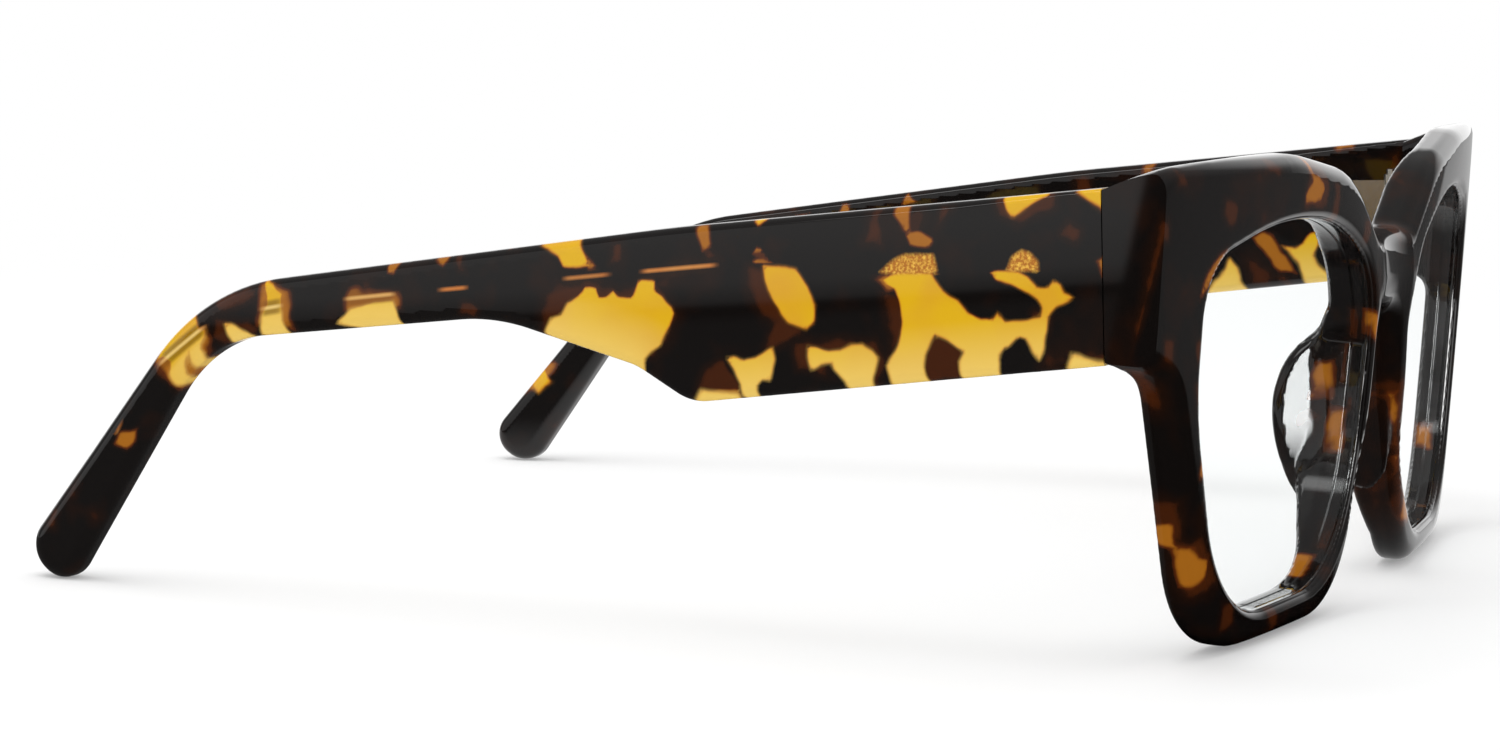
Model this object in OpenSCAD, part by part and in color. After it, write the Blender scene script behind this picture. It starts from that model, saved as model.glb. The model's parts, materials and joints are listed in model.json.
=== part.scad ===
// Square acetate eyeglasses, standing open on their rims and temple tips.
// X runs across the face, with the wearer's right at -X. The front faces -Y,
// the temples run back along +Y, and +Z is up. The origin is on the surface
// that the glasses stand on, in the middle of their box.

/* [Lens openings] */
// Width of one lens opening
lens_w = 52.4; // [48:0.2:56]
// Height of one lens opening
lens_h = 41.8; // [38:0.2:45]
// Distance between the two lens openings
bridge_w = 18.9; // [17:0.1:21]

/* [Front] */
// Width over the two end pieces
front_w = 142; // [140:0.5:146]
// Thickness of the front
front_t = 4.6; // [4:0.1:5.4]
// Radius of the front's face curve, seen from above
face_r = 322; // [280:1:400]
// How far the top of the front leans forwards, in degrees
front_tilt = 2.6; // [1.5:0.1:4]
// Height of the brow above a lens opening
brow_h = 6.6; // [6:0.1:8]
// Height of the rim below a lens opening
rim_low = 4.2; // [3.8:0.1:5]
// Width of the rim on the outer side of a lens opening
rim_side = 4.5; // [4:0.1:5.5]
// Width of the rim beside the nose
rim_nose = 3.6; // [3.2:0.1:4.2]
// Depth from the brow's top down to the bridge
bridge_drop = 10.4; // [9:0.1:12]
// Height of the bridge bar
bridge_h = 9.2; // [7:0.1:10]
// Depth of the scoop over the bridge's front
bridge_scoop = 0.8; // [0.3:0.1:1.2]
// Height of an end piece where the temple meets it
end_h = 18; // [16:0.1:19]
// Depth from the brow's top down to an end piece's top at the joint
end_drop = 2.4; // [1.6:0.1:3]
// How far an end piece stands behind the back of the front
end_back = 1.5; // [1.2:0.1:2]

/* [Lenses] */
// Thickness of a lens
lens_t = 1.8; // [1.4:0.1:2.2]
// Depth of the lens groove in the rim
groove_d = 0.9; // [0.6:0.1:1.2]
// Width of the lens groove
groove_w = 0.9; // [0.7:0.1:1.2]
// Depth of the groove's middle behind the front face
groove_back = 2; // [1.7:0.1:2.3]
// Clearance of the lens in its opening and groove
lens_fit = 0.1; // [0.05:0.05:0.2]

/* [Nose pads] */
// Height of a nose pad
pad_h = 26; // [22:0.5:28]
// How far a nose pad stands behind the rim
pad_back = 7; // [6:0.1:8]
// Thickness of a nose pad
pad_t = 2.8; // [2.4:0.1:3.2]
// Turn of a nose pad away from the nose, in degrees
pad_splay = 22; // [15:1:30]

/* [Temples] */
// Thickness of a temple
temple_t = 4.4; // [4.2:0.1:5]
// Distance from the joint back to the bend over the ear
bend_run = 108; // [100:1:116]
// Height of a temple at the joint
temple_h = 17.9; // [16.5:0.1:18.5]
// Height of the slim part of a temple, in front of the bend
slim_h = 5.9; // [5.5:0.1:7.5]
// Distance from the joint back to the step in the lower edge
step_run = 45.8; // [40:0.2:50]
// Radius of the rounded temple tip
tip_r = 3.9; // [3.6:0.1:4.4]
// Distance from the bend back to the middle of the tip
tip_run = 20.6; // [16:0.2:24]
// Radius of the temple's inward curve, seen from above
temple_r = 1090; // [900:10:1600]
// Fall of the temple's top edge from joint to bend, in degrees
temple_fall = 8; // [7:0.1:8.6]
// Gap between an end piece and its temple
joint_gap = 0.12; // [0.08:0.01:0.2]
// Lean of the hinge axis, with its top towards the back, in degrees
axis_lean = 2.4; // [1:0.1:4]

/* [Core wires] */
// Height of the flat core wire
wire_h = 2.2; // [1.8:0.1:2.6]
// Thickness of the flat core wire
wire_t = 1.2; // [1:0.1:1.4]
// Clearance round embedded metal
metal_fit = 0.06; // [0.04:0.01:0.1]

/* [Hinges] */
// Radius of the hinge barrel
barrel_r = 1.6; // [1.5:0.05:1.8]
// Height of one of the five barrel knuckles
knuckle_h = 1.7; // [1.5:0.05:1.9]
// Gap between neighbouring knuckles
knuckle_gap = 0.06; // [0.04:0.01:0.1]
// Radius of the hinge screw's shank
screw_r = 0.7; // [0.6:0.05:0.8]
// Running clearance of the screw in the knuckles
screw_fit = 0.04; // [0.02:0.01:0.06]
// Radius of the screw's head
head_r = 1.25; // [1.15:0.05:1.4]
// Height of the screw's head
head_h = 0.7; // [0.5:0.05:0.9]
// Thickness of a hinge leaf
leaf_t = 0.9; // [0.8:0.05:1]
// How far a leaf stands out of the acetate
leaf_proud = 0.3; // [0.2:0.05:0.4]
// Width of the front leaf, across the end piece
front_leaf_w = 5.2; // [4.8:0.1:5.6]
// Length of the temple leaf
temple_leaf_l = 10; // [8:0.5:12]
// Height of the anchors under the leaves
anchor_h = 4; // [3:0.1:4.2]
// How far the temple's anchor lies above the middle of its leaf
anchor_lift = 1.4; // [0.8:0.1:1.5]
// Depth of the anchor in the end piece
front_anchor_d = 2; // [1.5:0.1:2.4]
// Length of the anchor in the temple
temple_anchor_l = 21; // [18:0.5:22]
// Thickness of the anchor in the temple
temple_anchor_t = 1.2; // [1:0.1:1.4]
// Pitch of the cross grooves on the temple anchor
anchor_pitch = 1.4; // [1.2:0.1:2]
// Depth of these grooves, and half their width
anchor_groove = 0.3; // [0.2:0.05:0.4]

/* [Hidden] */

// Colours
tortoise = [0.20, 0.12, 0.07];
honey = [0.62, 0.38, 0.10];
clear = [0.85, 0.92, 0.95, 0.35];
nickel = [0.78, 0.76, 0.72];
gold = [0.80, 0.64, 0.30];

round_fn = 48;
corner_n = 8;      // segments in a rounded corner
plan_n = 36;       // segments in a curve seen from above
big = 200;         // longer than any cut needs

// Lens opening of the wearer's left, in the front's own plane
x_in = bridge_w / 2;
x_out = x_in + lens_w;
z_low = rim_low;
z_high = rim_low + lens_h;

low_in = x_in + 10;     // lower corner beside the nose
low_out = x_out - 10.3; // lower corner on the outer side
nose_z = z_low + 18.3;  // level where the rim turns beside the nose

// Corners of the lens opening, clockwise from the top beside the nose: x, z, radius
lens_corners = [
    [x_in + 11.5, z_high, 23],
    [x_out - 6.3, z_high - 0.6, 14],
    [x_out + 1.4, z_high - 10.7, 25],
    [low_out, z_low + 0.2, 13],
    [low_in, z_low, 17.5],
    [x_in - 2.7, z_high - 12.5, 12.5]
];

// Levels of the front
top_z = z_high + brow_h;
bridge_z = top_z - bridge_drop;
end_top = top_z - end_drop;
end_low = end_top - end_h;
side_x = front_w / 2;
nose_low_x = low_in - 0.5 * rim_nose;
nose_x = x_in - 0.57 * rim_nose;

// Corners of the front, from the bridge's top round the left rim to its underside
front_half = [
    [x_in - 2, bridge_z, 5],
    [x_in + 10.5, top_z - 2.4, 22],
    [x_in + 28.5, top_z, 40],
    [side_x, top_z, 3.5],
    [side_x, end_low, 0.8],
    [x_out + rim_side - 0.2, end_low - 1.2, 6],
    [low_out + 0.73 * rim_side, 0, 14],
    [nose_low_x, 0, 14],
    [nose_x, nose_z, 25],
    [x_in - 1.12 * rim_nose, bridge_z - bridge_h, 3]
];

// Scoop over the bridge, seen from above
scoop_half = x_in - 1.5;
scoop_r = (scoop_half * scoop_half + bridge_scoop * bridge_scoop) / (2 * bridge_scoop);

// Places seen from the side: the joint plane passes through joint_y at joint_z
joint_z = end_low * cos(front_tilt) + end_h / 2;
joint_y = face_y(side_x) - sin(front_tilt) * joint_z + front_t + end_back;
inner_x = side_x - temple_t;

// Hinge axis, held off the end piece and off the temple by the same amount
barrel_off = barrel_r + leaf_proud + 0.15;
axis_x = inner_x - barrel_off;
axis_y = joint_y + barrel_off;
barrel_h = 5 * knuckle_h + 4 * knuckle_gap;

// Temple outline, seen from the side
temple_top = joint_z + temple_h / 2;
fall = tan(temple_fall);
bend_y = joint_y + bend_run;
bend_z = temple_top - fall * bend_run;
tip = [bend_y + tip_run, tip_r];
tip_dir = unit(tip - [bend_y, bend_z - slim_h / 2]);
tip_side = [-tip_dir.y, tip_dir.x];
step_y = joint_y + step_run;
temple_low = temple_top - temple_h;
lower_fall = 0.14;
step_z = temple_low - lower_fall * step_run;
temple_outline = [
    [joint_y, temple_top, 0.4],
    [joint_y + 0.45 * bend_run, temple_top - fall * 0.45 * bend_run + 1, 260],
    [bend_y, bend_z, 28],
    concat(tip + tip_r * tip_side + tip_r * tip_dir, tip_r),
    concat(tip - tip_r * tip_side + tip_r * tip_dir, tip_r),
    [bend_y - 0.4, bend_z - slim_h, 17],
    [step_y + 24, bend_z + fall * (bend_run - step_run - 24) - 1.12 * slim_h, 24],
    [step_y + 6.6, step_z + 3.6, 8],
    [step_y, step_z, 2.4],
    [joint_y, temple_low, 0.6]
];

// Core wire, seen from the side: its route from the anchor to the tip
anchor_y = axis_y + 2.6;
wire_knee = 23;         // from the wire's first turn to the bend
wire_route = [
    [anchor_y + temple_anchor_l + 1, joint_z + anchor_lift],
    [bend_y - wire_knee, bend_z + fall * wire_knee - 0.49 * slim_h],
    [bend_y + 1.8, bend_z - 0.6 * slim_h],
    [bend_y + 0.64 * tip_run, bend_z - 0.6 * (bend_z - tip.y)]
];

function unit(v) = v / norm(v);
function face_y(x) = x * x / (2 * face_r);
function scooped_y(x) =
    abs(x) < scoop_half ?
        max(face_y(x), bridge_scoop - scoop_r + sqrt(scoop_r * scoop_r - x * x)) : face_y(x);
function temple_in(y) = pow(max(y - joint_y, 0), 2) / (2 * temple_r);

// One rounded corner at b between its neighbours a and c
function corner(a, b, c, r) =
    r == 0 ? [b] :
    let (
        u = unit(a - b),
        w = unit(c - b),
        half = acos(max(min(u * w, 0.99999), -0.99999)) / 2,
        t = min(r / tan(half), 0.48 * norm(a - b), 0.48 * norm(c - b)),
        rr = t * tan(half),
        m = b + unit(u + w) * rr / sin(half),
        from = b + u * t - m,
        to = b + w * t - m,
        a0 = atan2(from.y, from.x),
        turn = (atan2(to.y, to.x) - a0 + 540) % 360 - 180
    )
    [for (k = [0 : corner_n]) m + rr * [cos(a0 + turn * k / corner_n), sin(a0 + turn * k / corner_n)]];

function flat(p) = [p.x, p.y];

// Closed outline with each corner [x, y, radius] rounded
function rounded(p) = [
    for (i = [0 : len(p) - 1])
        each corner(flat(p[(i + len(p) - 1) % len(p)]), flat(p[i]), flat(p[(i + 1) % len(p)]), p[i][2])
];

// Open line with its inner corners rounded, from first to last
function rounded_line(first, p, last) =
    let (q = concat([first], p, [last]))
    [for (i = [1 : len(p)]) each corner(flat(q[i - 1]), flat(q[i]), flat(q[i + 1]), q[i][2])];

// Closed outline moved outwards by d; its points run clockwise
function grown(p, d) = [
    for (i = [0 : len(p) - 1])
        let (run = unit(p[(i + 1) % len(p)] - p[(i + len(p) - 1) % len(p)]))
        p[i] + d * [-run.y, run.x]
];

// Line with each end moved outwards by d
function stretched(p, d) =
    let (n = len(p) - 1)
    [
        for (i = [0 : n])
            i == 0 ? p[0] - d * unit(p[1] - p[0]) :
            i == n ? p[n] + d * unit(p[n] - p[n - 1]) : p[i]
    ];

// Line made into a strip of height h
function strip(p, h) =
    let (
        n = len(p) - 1,
        side = [
            for (i = [0 : n])
                let (run = unit(p[min(i + 1, n)] - p[max(i - 1, 0)]))
                h / 2 * [-run.y, run.x]
        ]
    )
    concat([for (i = [0 : n]) p[i] + side[i]], [for (i = [n : -1 : 0]) p[i] - side[i]]);

lens_line = rounded(lens_corners);
half_line = rounded_line([0, bridge_z, 0], front_half, [0, bridge_z - bridge_h, 0]);
front_line = concat(
    [[0, bridge_z]], half_line, [[0, bridge_z - bridge_h]],
    [for (i = [len(half_line) - 1 : -1 : 0]) [-half_line[i].x, half_line[i].y]]
);
temple_line = rounded(temple_outline);
wire_line = rounded_line(
    concat(wire_route[0], 0),
    [for (i = [1 : len(wire_route) - 2]) concat(wire_route[i], 30)],
    concat(wire_route[len(wire_route) - 1], 0)
);
wire_full = concat([wire_route[0]], wire_line, [wire_route[len(wire_route) - 1]]);

// Half of the box along Y, so that the origin lies in its middle
front_most = min([for (p = half_line) scooped_y(p.x) * cos(front_tilt) - p.y * sin(front_tilt)]);
back_most = max([for (p = rounded(temple_outline)) p.x]);
mid_y = (front_most + back_most) / 2;

// Moves the whole model so that the origin is in the middle of its box
module placed() {
    translate([0, -mid_y, 0]) children();
}

// Draws the wearer's left piece as it is, and the right piece as its mirror image
module on_side(s) {
    placed() mirror([s < 0 ? 1 : 0, 0, 0]) children();
}

// Leans what is drawn in the front's own plane forwards
module leaned() {
    rotate([front_tilt, 0, 0]) children();
}

// Extrudes an outline given in X and Z along Y, from y0 to y1
module along_y(points, y0, y1) {
    translate([0, y1, 0]) rotate([90, 0, 0]) linear_extrude(y1 - y0) polygon(points);
}

// Layer that follows the face curve, from d0 to d1 behind the front face
module face_layer(d0, d1) {
    half = side_x + 5;
    xs = [for (i = [0 : plan_n]) -half + 2 * half * i / plan_n];
    translate([0, 0, -10]) linear_extrude(top_z + 20)
        polygon(concat(
            [for (x = xs) [x, face_y(x) + d0]],
            [for (i = [plan_n : -1 : 0]) [xs[i], face_y(xs[i]) + d1]]
        ));
}

// Everything behind the joint plane, which leans with the hinge axis
module behind_joint(gap) {
    translate([0, joint_y + gap, joint_z]) rotate([-axis_lean, 0, 0])
        translate([-big / 2, 0, -big / 2]) cube(big);
}

// Places a child on the left hinge axis, with Z along the axis
module at_axis() {
    translate([axis_x, axis_y, joint_z]) rotate([-axis_lean, 0, 0]) children();
}

// Height of the lower face of knuckle i, counted from the bottom
function knuckle_z(i) = -barrel_h / 2 + i * (knuckle_h + knuckle_gap);

// End piece block on the wearer's left: it carries the hinge behind the brow
module end_block() {
    block_x = axis_x - front_leaf_w + 0.4;
    intersection() {
        leaned() intersection() {
            along_y(front_line, -10, 30);
            translate([block_x, 0, end_low]) cube([side_x, big, big]);
            face_layer(front_t - 1, front_t + 20);
        }
        difference() {
            translate([0, -20, 0]) cube(big);
            behind_joint(0);
            end_slope();
        }
    }
}

// Slope that brings the brow down to the temple's top edge
module end_slope() {
    drop = end_top * cos(front_tilt) + 0.05;
    run = front_t + end_back;
    translate([0, joint_y, drop]) rotate([-atan((end_drop + 0.2) / run), 0, 0])
        translate([axis_x - front_leaf_w - 2, -run, 0]) cube([big, big, 30]);
}

module front_frame() {
    color(tortoise) placed() difference() {
        union() {
            leaned() intersection() {
                along_y(front_line, -10, 30);
                face_layer(0, front_t);
            }
            for (s = [0, 1]) mirror([s, 0, 0]) end_block();
        }
        leaned() for (s = [0, 1]) mirror([s, 0, 0]) {
            along_y(lens_line, -10, 30);
            intersection() {
                along_y(grown(lens_line, groove_d), -10, 30);
                face_layer(groove_back - groove_w / 2, groove_back + groove_w / 2);
            }
        }
        leaned() bridge_cut();
        for (s = [0, 1]) mirror([s, 0, 0]) front_metal_pocket();
    }
}

// Scoop over the bridge: an upright cylinder just touching the two rims
module bridge_cut() {
    translate([0, bridge_scoop - scoop_r, -1]) cylinder(r = scoop_r, h = top_z + 2, $fn = 200);
}

// Space for the front leaf and its anchor, in an end piece
module front_metal_pocket() {
    at_axis() {
        front_leaf_block(metal_fit, leaf_proud + 1);
        front_anchor_block(metal_fit);
    }
}

module front_leaf_block(fit, proud) {
    h = barrel_h + 2 * fit;
    w = front_leaf_w + 2 * fit;
    depth = leaf_t - leaf_proud;
    translate([barrel_r + 0.2 + fit - w, -barrel_off - depth, -h / 2]) cube([w, depth + proud, h]);
}

module front_anchor_block(fit) {
    w = front_leaf_w - 2.4 + 2 * fit;
    h = anchor_h + 2 * fit;
    depth = leaf_t - leaf_proud;
    translate([barrel_r - 1 + fit - w, -barrel_off - depth - front_anchor_d - fit, -h / 2])
        cube([w, front_anchor_d + fit, h]);
}

module lens() {
    color(clear) leaned() union() {
        intersection() {
            along_y(grown(lens_line, -lens_fit), -10, 30);
            face_layer(groove_back - lens_t / 2, groove_back + lens_t / 2);
        }
        intersection() {
            along_y(grown(lens_line, groove_d - lens_fit), -10, 30);
            face_layer(groove_back - groove_w / 2 + lens_fit, groove_back + groove_w / 2 - lens_fit);
        }
    }
}

// Nose pad: a rounded slab that follows the rim beside the nose and ends at its back face
module nose_pad() {
    lean = atan((nose_low_x - nose_x) / nose_z);
    pad_line = rounded([
        [-4, 0.47 * pad_h, 0], [0.1 * pad_back, 0.45 * pad_h, 3], [0.93 * pad_back, 0.27 * pad_h, 4],
        [1.03 * pad_back, 0.06 * pad_h, 6], [0.85 * pad_back, -0.16 * pad_h, 12],
        [0.5 * pad_back, -0.35 * pad_h, 9], [0.42 * pad_back, -pad_h / 2, 2], [-4, -pad_h / 2, 0]
    ]);
    foot = [nose_x + 0.55, nose_z - 0.7];
    color(honey) leaned() difference() {
        translate([foot.x, face_y(foot.x) + front_t, foot.y]) rotate([0, -lean, 0])
            rotate([0, 0, -pad_splay]) rotate([90, 0, 90]) linear_extrude(pad_t) polygon(pad_line);
        face_layer(-5, front_t);
    }
}

// Layer of the left temple between two depths under its outer face
module temple_layer(d0, d1) {
    y0 = joint_y - 6;
    y1 = back_most + 5;
    ys = [for (i = [0 : plan_n]) y0 + (y1 - y0) * i / plan_n];
    translate([0, 0, -10]) linear_extrude(temple_top + 20)
        polygon(concat(
            [for (y = ys) [side_x - temple_in(y) - d0, y]],
            [for (i = [plan_n : -1 : 0]) [side_x - temple_in(ys[i]) - d1, ys[i]]]
        ));
}

// Extrudes an outline given in Y and Z along X, across the left temple
module along_x(points) {
    translate([side_x - 30, 0, 0]) rotate([90, 0, 90]) linear_extrude(40) polygon(points);
}

module temple() {
    color(honey) difference() {
        intersection() {
            along_x(temple_line_long());
            temple_layer(0, temple_t);
            behind_joint(joint_gap);
        }
        at_axis() {
            temple_leaf_block(metal_fit, leaf_proud + 1);
            temple_anchor_block(metal_fit);
        }
        wire_body(metal_fit);
    }
}

// The temple outline with its front end run past the joint plane, which then cuts it
function temple_line_long() = [
    for (p = temple_line)
        p.x > joint_y + 1 ? p : p - 4 * [1, p.y > joint_z ? -fall : -lower_fall]
];

module wire_body(fit) {
    mid = temple_t / 2;
    intersection() {
        along_x(strip(stretched(wire_full, fit), wire_h + 2 * fit));
        temple_layer(mid - wire_t / 2 - fit, mid + wire_t / 2 + fit);
    }
}

module core_wire() {
    color(nickel) wire_body(0);
}

module temple_leaf_block(fit, proud) {
    h = 0.8 * barrel_h + 2 * fit;
    depth = leaf_t - leaf_proud;
    translate([barrel_off - proud, barrel_r - 0.6 - fit, -h / 2])
        cube([depth + proud, temple_leaf_l + 2 * fit, h]);
}

module temple_anchor_block(fit) {
    depth = leaf_t - leaf_proud;
    translate([barrel_off + depth, anchor_y - axis_y - fit, anchor_lift - anchor_h / 2 - fit])
        cube([temple_anchor_t + fit, temple_anchor_l + 2 * fit, anchor_h + 2 * fit]);
}

// Anchor of the temple leaf, with cross grooves that grip the acetate
module temple_anchor() {
    depth = leaf_t - leaf_proud;
    cuts = floor(temple_anchor_l / anchor_pitch) - 1;
    color(gold) at_axis() difference() {
        temple_anchor_block(0);
        for (i = [1 : cuts])
            translate([
                barrel_off + depth + temple_anchor_t - anchor_groove,
                anchor_y - axis_y + i * anchor_pitch - anchor_groove, anchor_lift - anchor_h
            ])
                cube([1, 2 * anchor_groove, 2 * anchor_h]);
    }
}

module front_anchor() {
    color(gold) at_axis() front_anchor_block(0);
}

module knuckle(i) {
    translate([0, 0, knuckle_z(i)]) cylinder(r = barrel_r, h = knuckle_h, $fn = round_fn);
}

// Bore through all five knuckles
module screw_bore() {
    translate([0, 0, -barrel_h]) cylinder(r = screw_r + screw_fit, h = 2 * barrel_h, $fn = round_fn);
}

// Front leaf: a plate in the end piece with knuckles 1, 3 and 5
module front_hinge() {
    web = 0.75 * barrel_r;
    color(nickel) at_axis() difference() {
        union() {
            front_leaf_block(0, leaf_proud);
            for (i = [0, 2, 4]) {
                knuckle(i);
                translate([-web, -barrel_off, knuckle_z(i)]) cube([2 * web, barrel_off, knuckle_h]);
            }
        }
        screw_bore();
    }
}

// Temple leaf: a plate in the temple with knuckles 2 and 4
module temple_hinge() {
    web = 0.75 * barrel_r;
    color(nickel) at_axis() difference() {
        union() {
            temple_leaf_block(0, leaf_proud);
            for (i = [1, 3]) {
                knuckle(i);
                translate([0, -web, knuckle_z(i)]) cube([barrel_off, 2 * web + 0.6, knuckle_h]);
            }
        }
        screw_bore();
    }
}

// Screw: its head lies on the top knuckle, and its slot is cut across it
module hinge_screw() {
    top = barrel_h / 2;
    color(nickel) at_axis() difference() {
        union() {
            translate([0, 0, -top]) cylinder(r = screw_r, h = barrel_h, $fn = round_fn);
            translate([0, 0, top]) cylinder(r = head_r, h = head_h, $fn = round_fn);
        }
        translate([-head_r - 1, -0.15, top + 0.6 * head_h]) cube([2 * head_r + 2, 0.3, head_h]);
    }
}

front_frame();
on_side(-1) lens();  // lens_right
on_side(1) lens();  // lens_left
on_side(-1) nose_pad();  // nose_pad_right
on_side(1) nose_pad();  // nose_pad_left
on_side(-1) front_hinge();  // front_hinge_right
on_side(1) front_hinge();  // front_hinge_left
on_side(-1) front_anchor();  // front_anchor_right
on_side(1) front_anchor();  // front_anchor_left
on_side(-1) hinge_screw();  // hinge_screw_right
on_side(1) hinge_screw();  // hinge_screw_left
on_side(-1) temple();  // temple_right
on_side(1) temple();  // temple_left
on_side(-1) core_wire();  // core_wire_right
on_side(1) core_wire();  // core_wire_left
on_side(-1) temple_hinge();  // temple_hinge_right
on_side(1) temple_hinge();  // temple_hinge_left
on_side(-1) temple_anchor();  // temple_anchor_right
on_side(1) temple_anchor();  // temple_anchor_left
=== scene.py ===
# %% [markdown]
# # Square tortoiseshell eyeglasses
# This notebook dresses the CAD model of a pair of acetate eyeglasses. The CAD model is loaded first and
# stays where it is. Each piece that is modelled here rides on one of its three bodies: the front and
# the two temples. Sizes are written in millimetres and turned into metres at the end of each mesh.

# %% Load the frame
import json
from itertools import product
from math import acos, cos, hypot, pi, radians, sin, tan

import bmesh
import bpy
import numpy as np
from mathutils import Matrix, Vector


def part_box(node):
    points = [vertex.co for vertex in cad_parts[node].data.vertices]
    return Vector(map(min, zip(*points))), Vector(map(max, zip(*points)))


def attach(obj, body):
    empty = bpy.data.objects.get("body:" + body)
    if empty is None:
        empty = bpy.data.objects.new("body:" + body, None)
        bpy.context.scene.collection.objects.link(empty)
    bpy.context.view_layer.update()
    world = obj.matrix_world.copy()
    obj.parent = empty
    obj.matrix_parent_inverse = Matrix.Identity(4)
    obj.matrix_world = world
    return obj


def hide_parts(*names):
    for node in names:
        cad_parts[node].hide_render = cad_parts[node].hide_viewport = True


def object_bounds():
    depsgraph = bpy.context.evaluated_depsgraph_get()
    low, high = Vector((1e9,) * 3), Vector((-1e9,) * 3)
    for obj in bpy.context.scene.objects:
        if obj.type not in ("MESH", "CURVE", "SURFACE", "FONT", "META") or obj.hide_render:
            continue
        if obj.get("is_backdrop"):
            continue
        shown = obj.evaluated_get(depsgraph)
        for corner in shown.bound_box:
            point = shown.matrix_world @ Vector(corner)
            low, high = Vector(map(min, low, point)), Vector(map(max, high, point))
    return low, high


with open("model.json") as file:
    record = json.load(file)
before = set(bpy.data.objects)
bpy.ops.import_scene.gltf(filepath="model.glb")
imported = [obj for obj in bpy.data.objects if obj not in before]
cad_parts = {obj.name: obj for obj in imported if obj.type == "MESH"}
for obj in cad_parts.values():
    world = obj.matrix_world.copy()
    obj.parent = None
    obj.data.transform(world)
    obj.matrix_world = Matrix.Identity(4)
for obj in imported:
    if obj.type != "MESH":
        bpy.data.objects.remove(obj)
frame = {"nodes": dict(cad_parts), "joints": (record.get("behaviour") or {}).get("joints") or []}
cad_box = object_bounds()
print("CAD box in mm:", [[round(1000 * v, 1) for v in corner] for corner in cad_box])

# %% [markdown]
# Shapes are drawn in bench coordinates: millimetres, with Y 0 at the front face, in its middle and at
# table level. The CAD model has its origin in the middle of its box instead. The hinge joint is in both,
# so it gives the shift.

# %% From the bench to the model
MM = 0.001
HINGE_Y = 14.1102
JOINT = {joint["name"]: joint for joint in frame["joints"]}
SHIFT = np.array([0, JOINT["left_temple_fold"]["pos_m"][1] / MM - HINGE_Y, 0])


def to_model(points):
    """Points in bench millimetres as points of the model in metres."""
    return (np.asarray(points, float) + SHIFT) * MM


def add_object(name, data):
    """A new object in the scene."""
    made = bpy.data.objects.new(name, data)
    bpy.context.scene.collection.objects.link(made)
    return made


print("shift along Y in mm:", round(float(SHIFT[1]), 4))

# %% [markdown]
# ## Outlines
# Acetate parts are milled from a sheet, so each has a side view made of straight runs and round
# corners. A list of corners with their radii describes it, and the distance from any point to that
# outline can be worked out exactly. This distance later shapes the whole piece.

# %% Outlines from rounded corners
def unit(v):
    return v / max(float(np.hypot(v[0], v[1])), 1e-9)


def outline(corners):
    """Runs and arcs of a closed outline, from corners given as (across, up, radius)."""
    places = [np.array(corner[:2], float) for corner in corners]
    count = len(places)
    ends = []
    arcs = []
    area = sum(float(np.cross(places[i - 1], places[i])) for i in range(count))
    for i, corner in enumerate(corners):
        before, here, after = places[i - 1], places[i], places[(i + 1) % count]
        u = unit(before - here)
        w = unit(after - here)
        half = 0.5 * acos(float(np.clip(u @ w, -0.99999, 0.99999)))
        shortest = min(hypot(*(before - here)), hypot(*(after - here)))
        reach = min(corner[2] / tan(half), 0.48 * shortest)
        radius = reach * tan(half)
        bulge = unit(u + w)
        turn = float(np.cross(here - before, after - here)) * area
        arcs.append((here + bulge * radius / sin(half), radius, -bulge, sin(half), 1 if turn > 0 else -1))
        ends.append((here + u * reach, here + w * reach))
    runs = [(ends[i][1], ends[(i + 1) % count][0]) for i in range(count)]
    return {"runs": runs, "arcs": arcs, "side": 1 if area > 0 else -1}


def outline_distance(across, up, shape):
    """Distance in mm from points to an outline, negative inside it."""
    best = np.full(np.broadcast(across, up).shape, 1e9)
    for start, end in shape["runs"]:
        run = end - start
        dx, dy = across - start[0], up - start[1]
        along = np.clip((dx * run[0] + dy * run[1]) / max(run @ run, 1e-9), 0, 1)
        away = np.hypot(dx - along * run[0], dy - along * run[1])
        left = np.where(run[0] * dy - run[1] * dx > 0, -1, 1) * shape["side"]
        best = np.where(away < abs(best), away * left, best)
    for middle, radius, bulge, spread, turn in shape["arcs"]:
        if radius < 1e-6:
            continue
        dx, dy = across - middle[0], up - middle[1]
        far = np.hypot(dx, dy)
        away = (far - radius) * turn
        met = (dx * bulge[0] + dy * bulge[1] >= spread * far) & (abs(away) < abs(best))
        best = np.where(met, away, best)
    return best


def outline_points(shape, degrees=3):
    """Points round an outline, with one every few degrees on its arcs."""
    points = []
    for i, (middle, radius, bulge, spread, turn) in enumerate(shape["arcs"]):
        first = shape["runs"][i - 1][1] - middle
        last = shape["runs"][i][0] - middle
        start = np.arctan2(first[1], first[0])
        sweep = (np.arctan2(last[1], last[0]) - start + pi) % (2 * pi) - pi
        steps = max(1, round(abs(sweep) / radians(degrees)))
        for step in range(steps + 1):
            angle = start + sweep * step / steps
            points.append(middle + radius * np.array([cos(angle), sin(angle)]))
    return np.array(points)


# %% [markdown]
# ## From distances to a mesh
# A polished acetate piece has no sharp edges: after milling it tumbles for days among wooden pegs,
# which rounds every edge by a different amount. Bevels struggle with edges that run together, such
# as a nose pad that melts into the rim. So each piece is described by a distance field. Fields are
# cut with `meet`, which rounds the edge, and joined with `melt`, which leaves a hollow like glue.
# `skin` puts a mesh on the zero level, with one point in each grid cell that the surface crosses, and
# `settle` then slides each point onto the surface.

# %% Cut, join and mesh a distance field
FRONT_STEP = 0.55
TEMPLE_STEP = 0.42


def meet(a, b, radius):
    """What is inside both a and b, with the edge between them rounded."""
    rounding = np.hypot(np.maximum(a + radius, 0), np.maximum(b + radius, 0))
    return np.minimum(-radius, np.maximum(a, b)) + rounding


def melt(a, b, radius):
    """What is inside a or b, with a hollow of that radius where they join."""
    near = np.maximum(radius - abs(a - b), 0) / radius
    return np.minimum(a, b) - near * near * radius / 4


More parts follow.
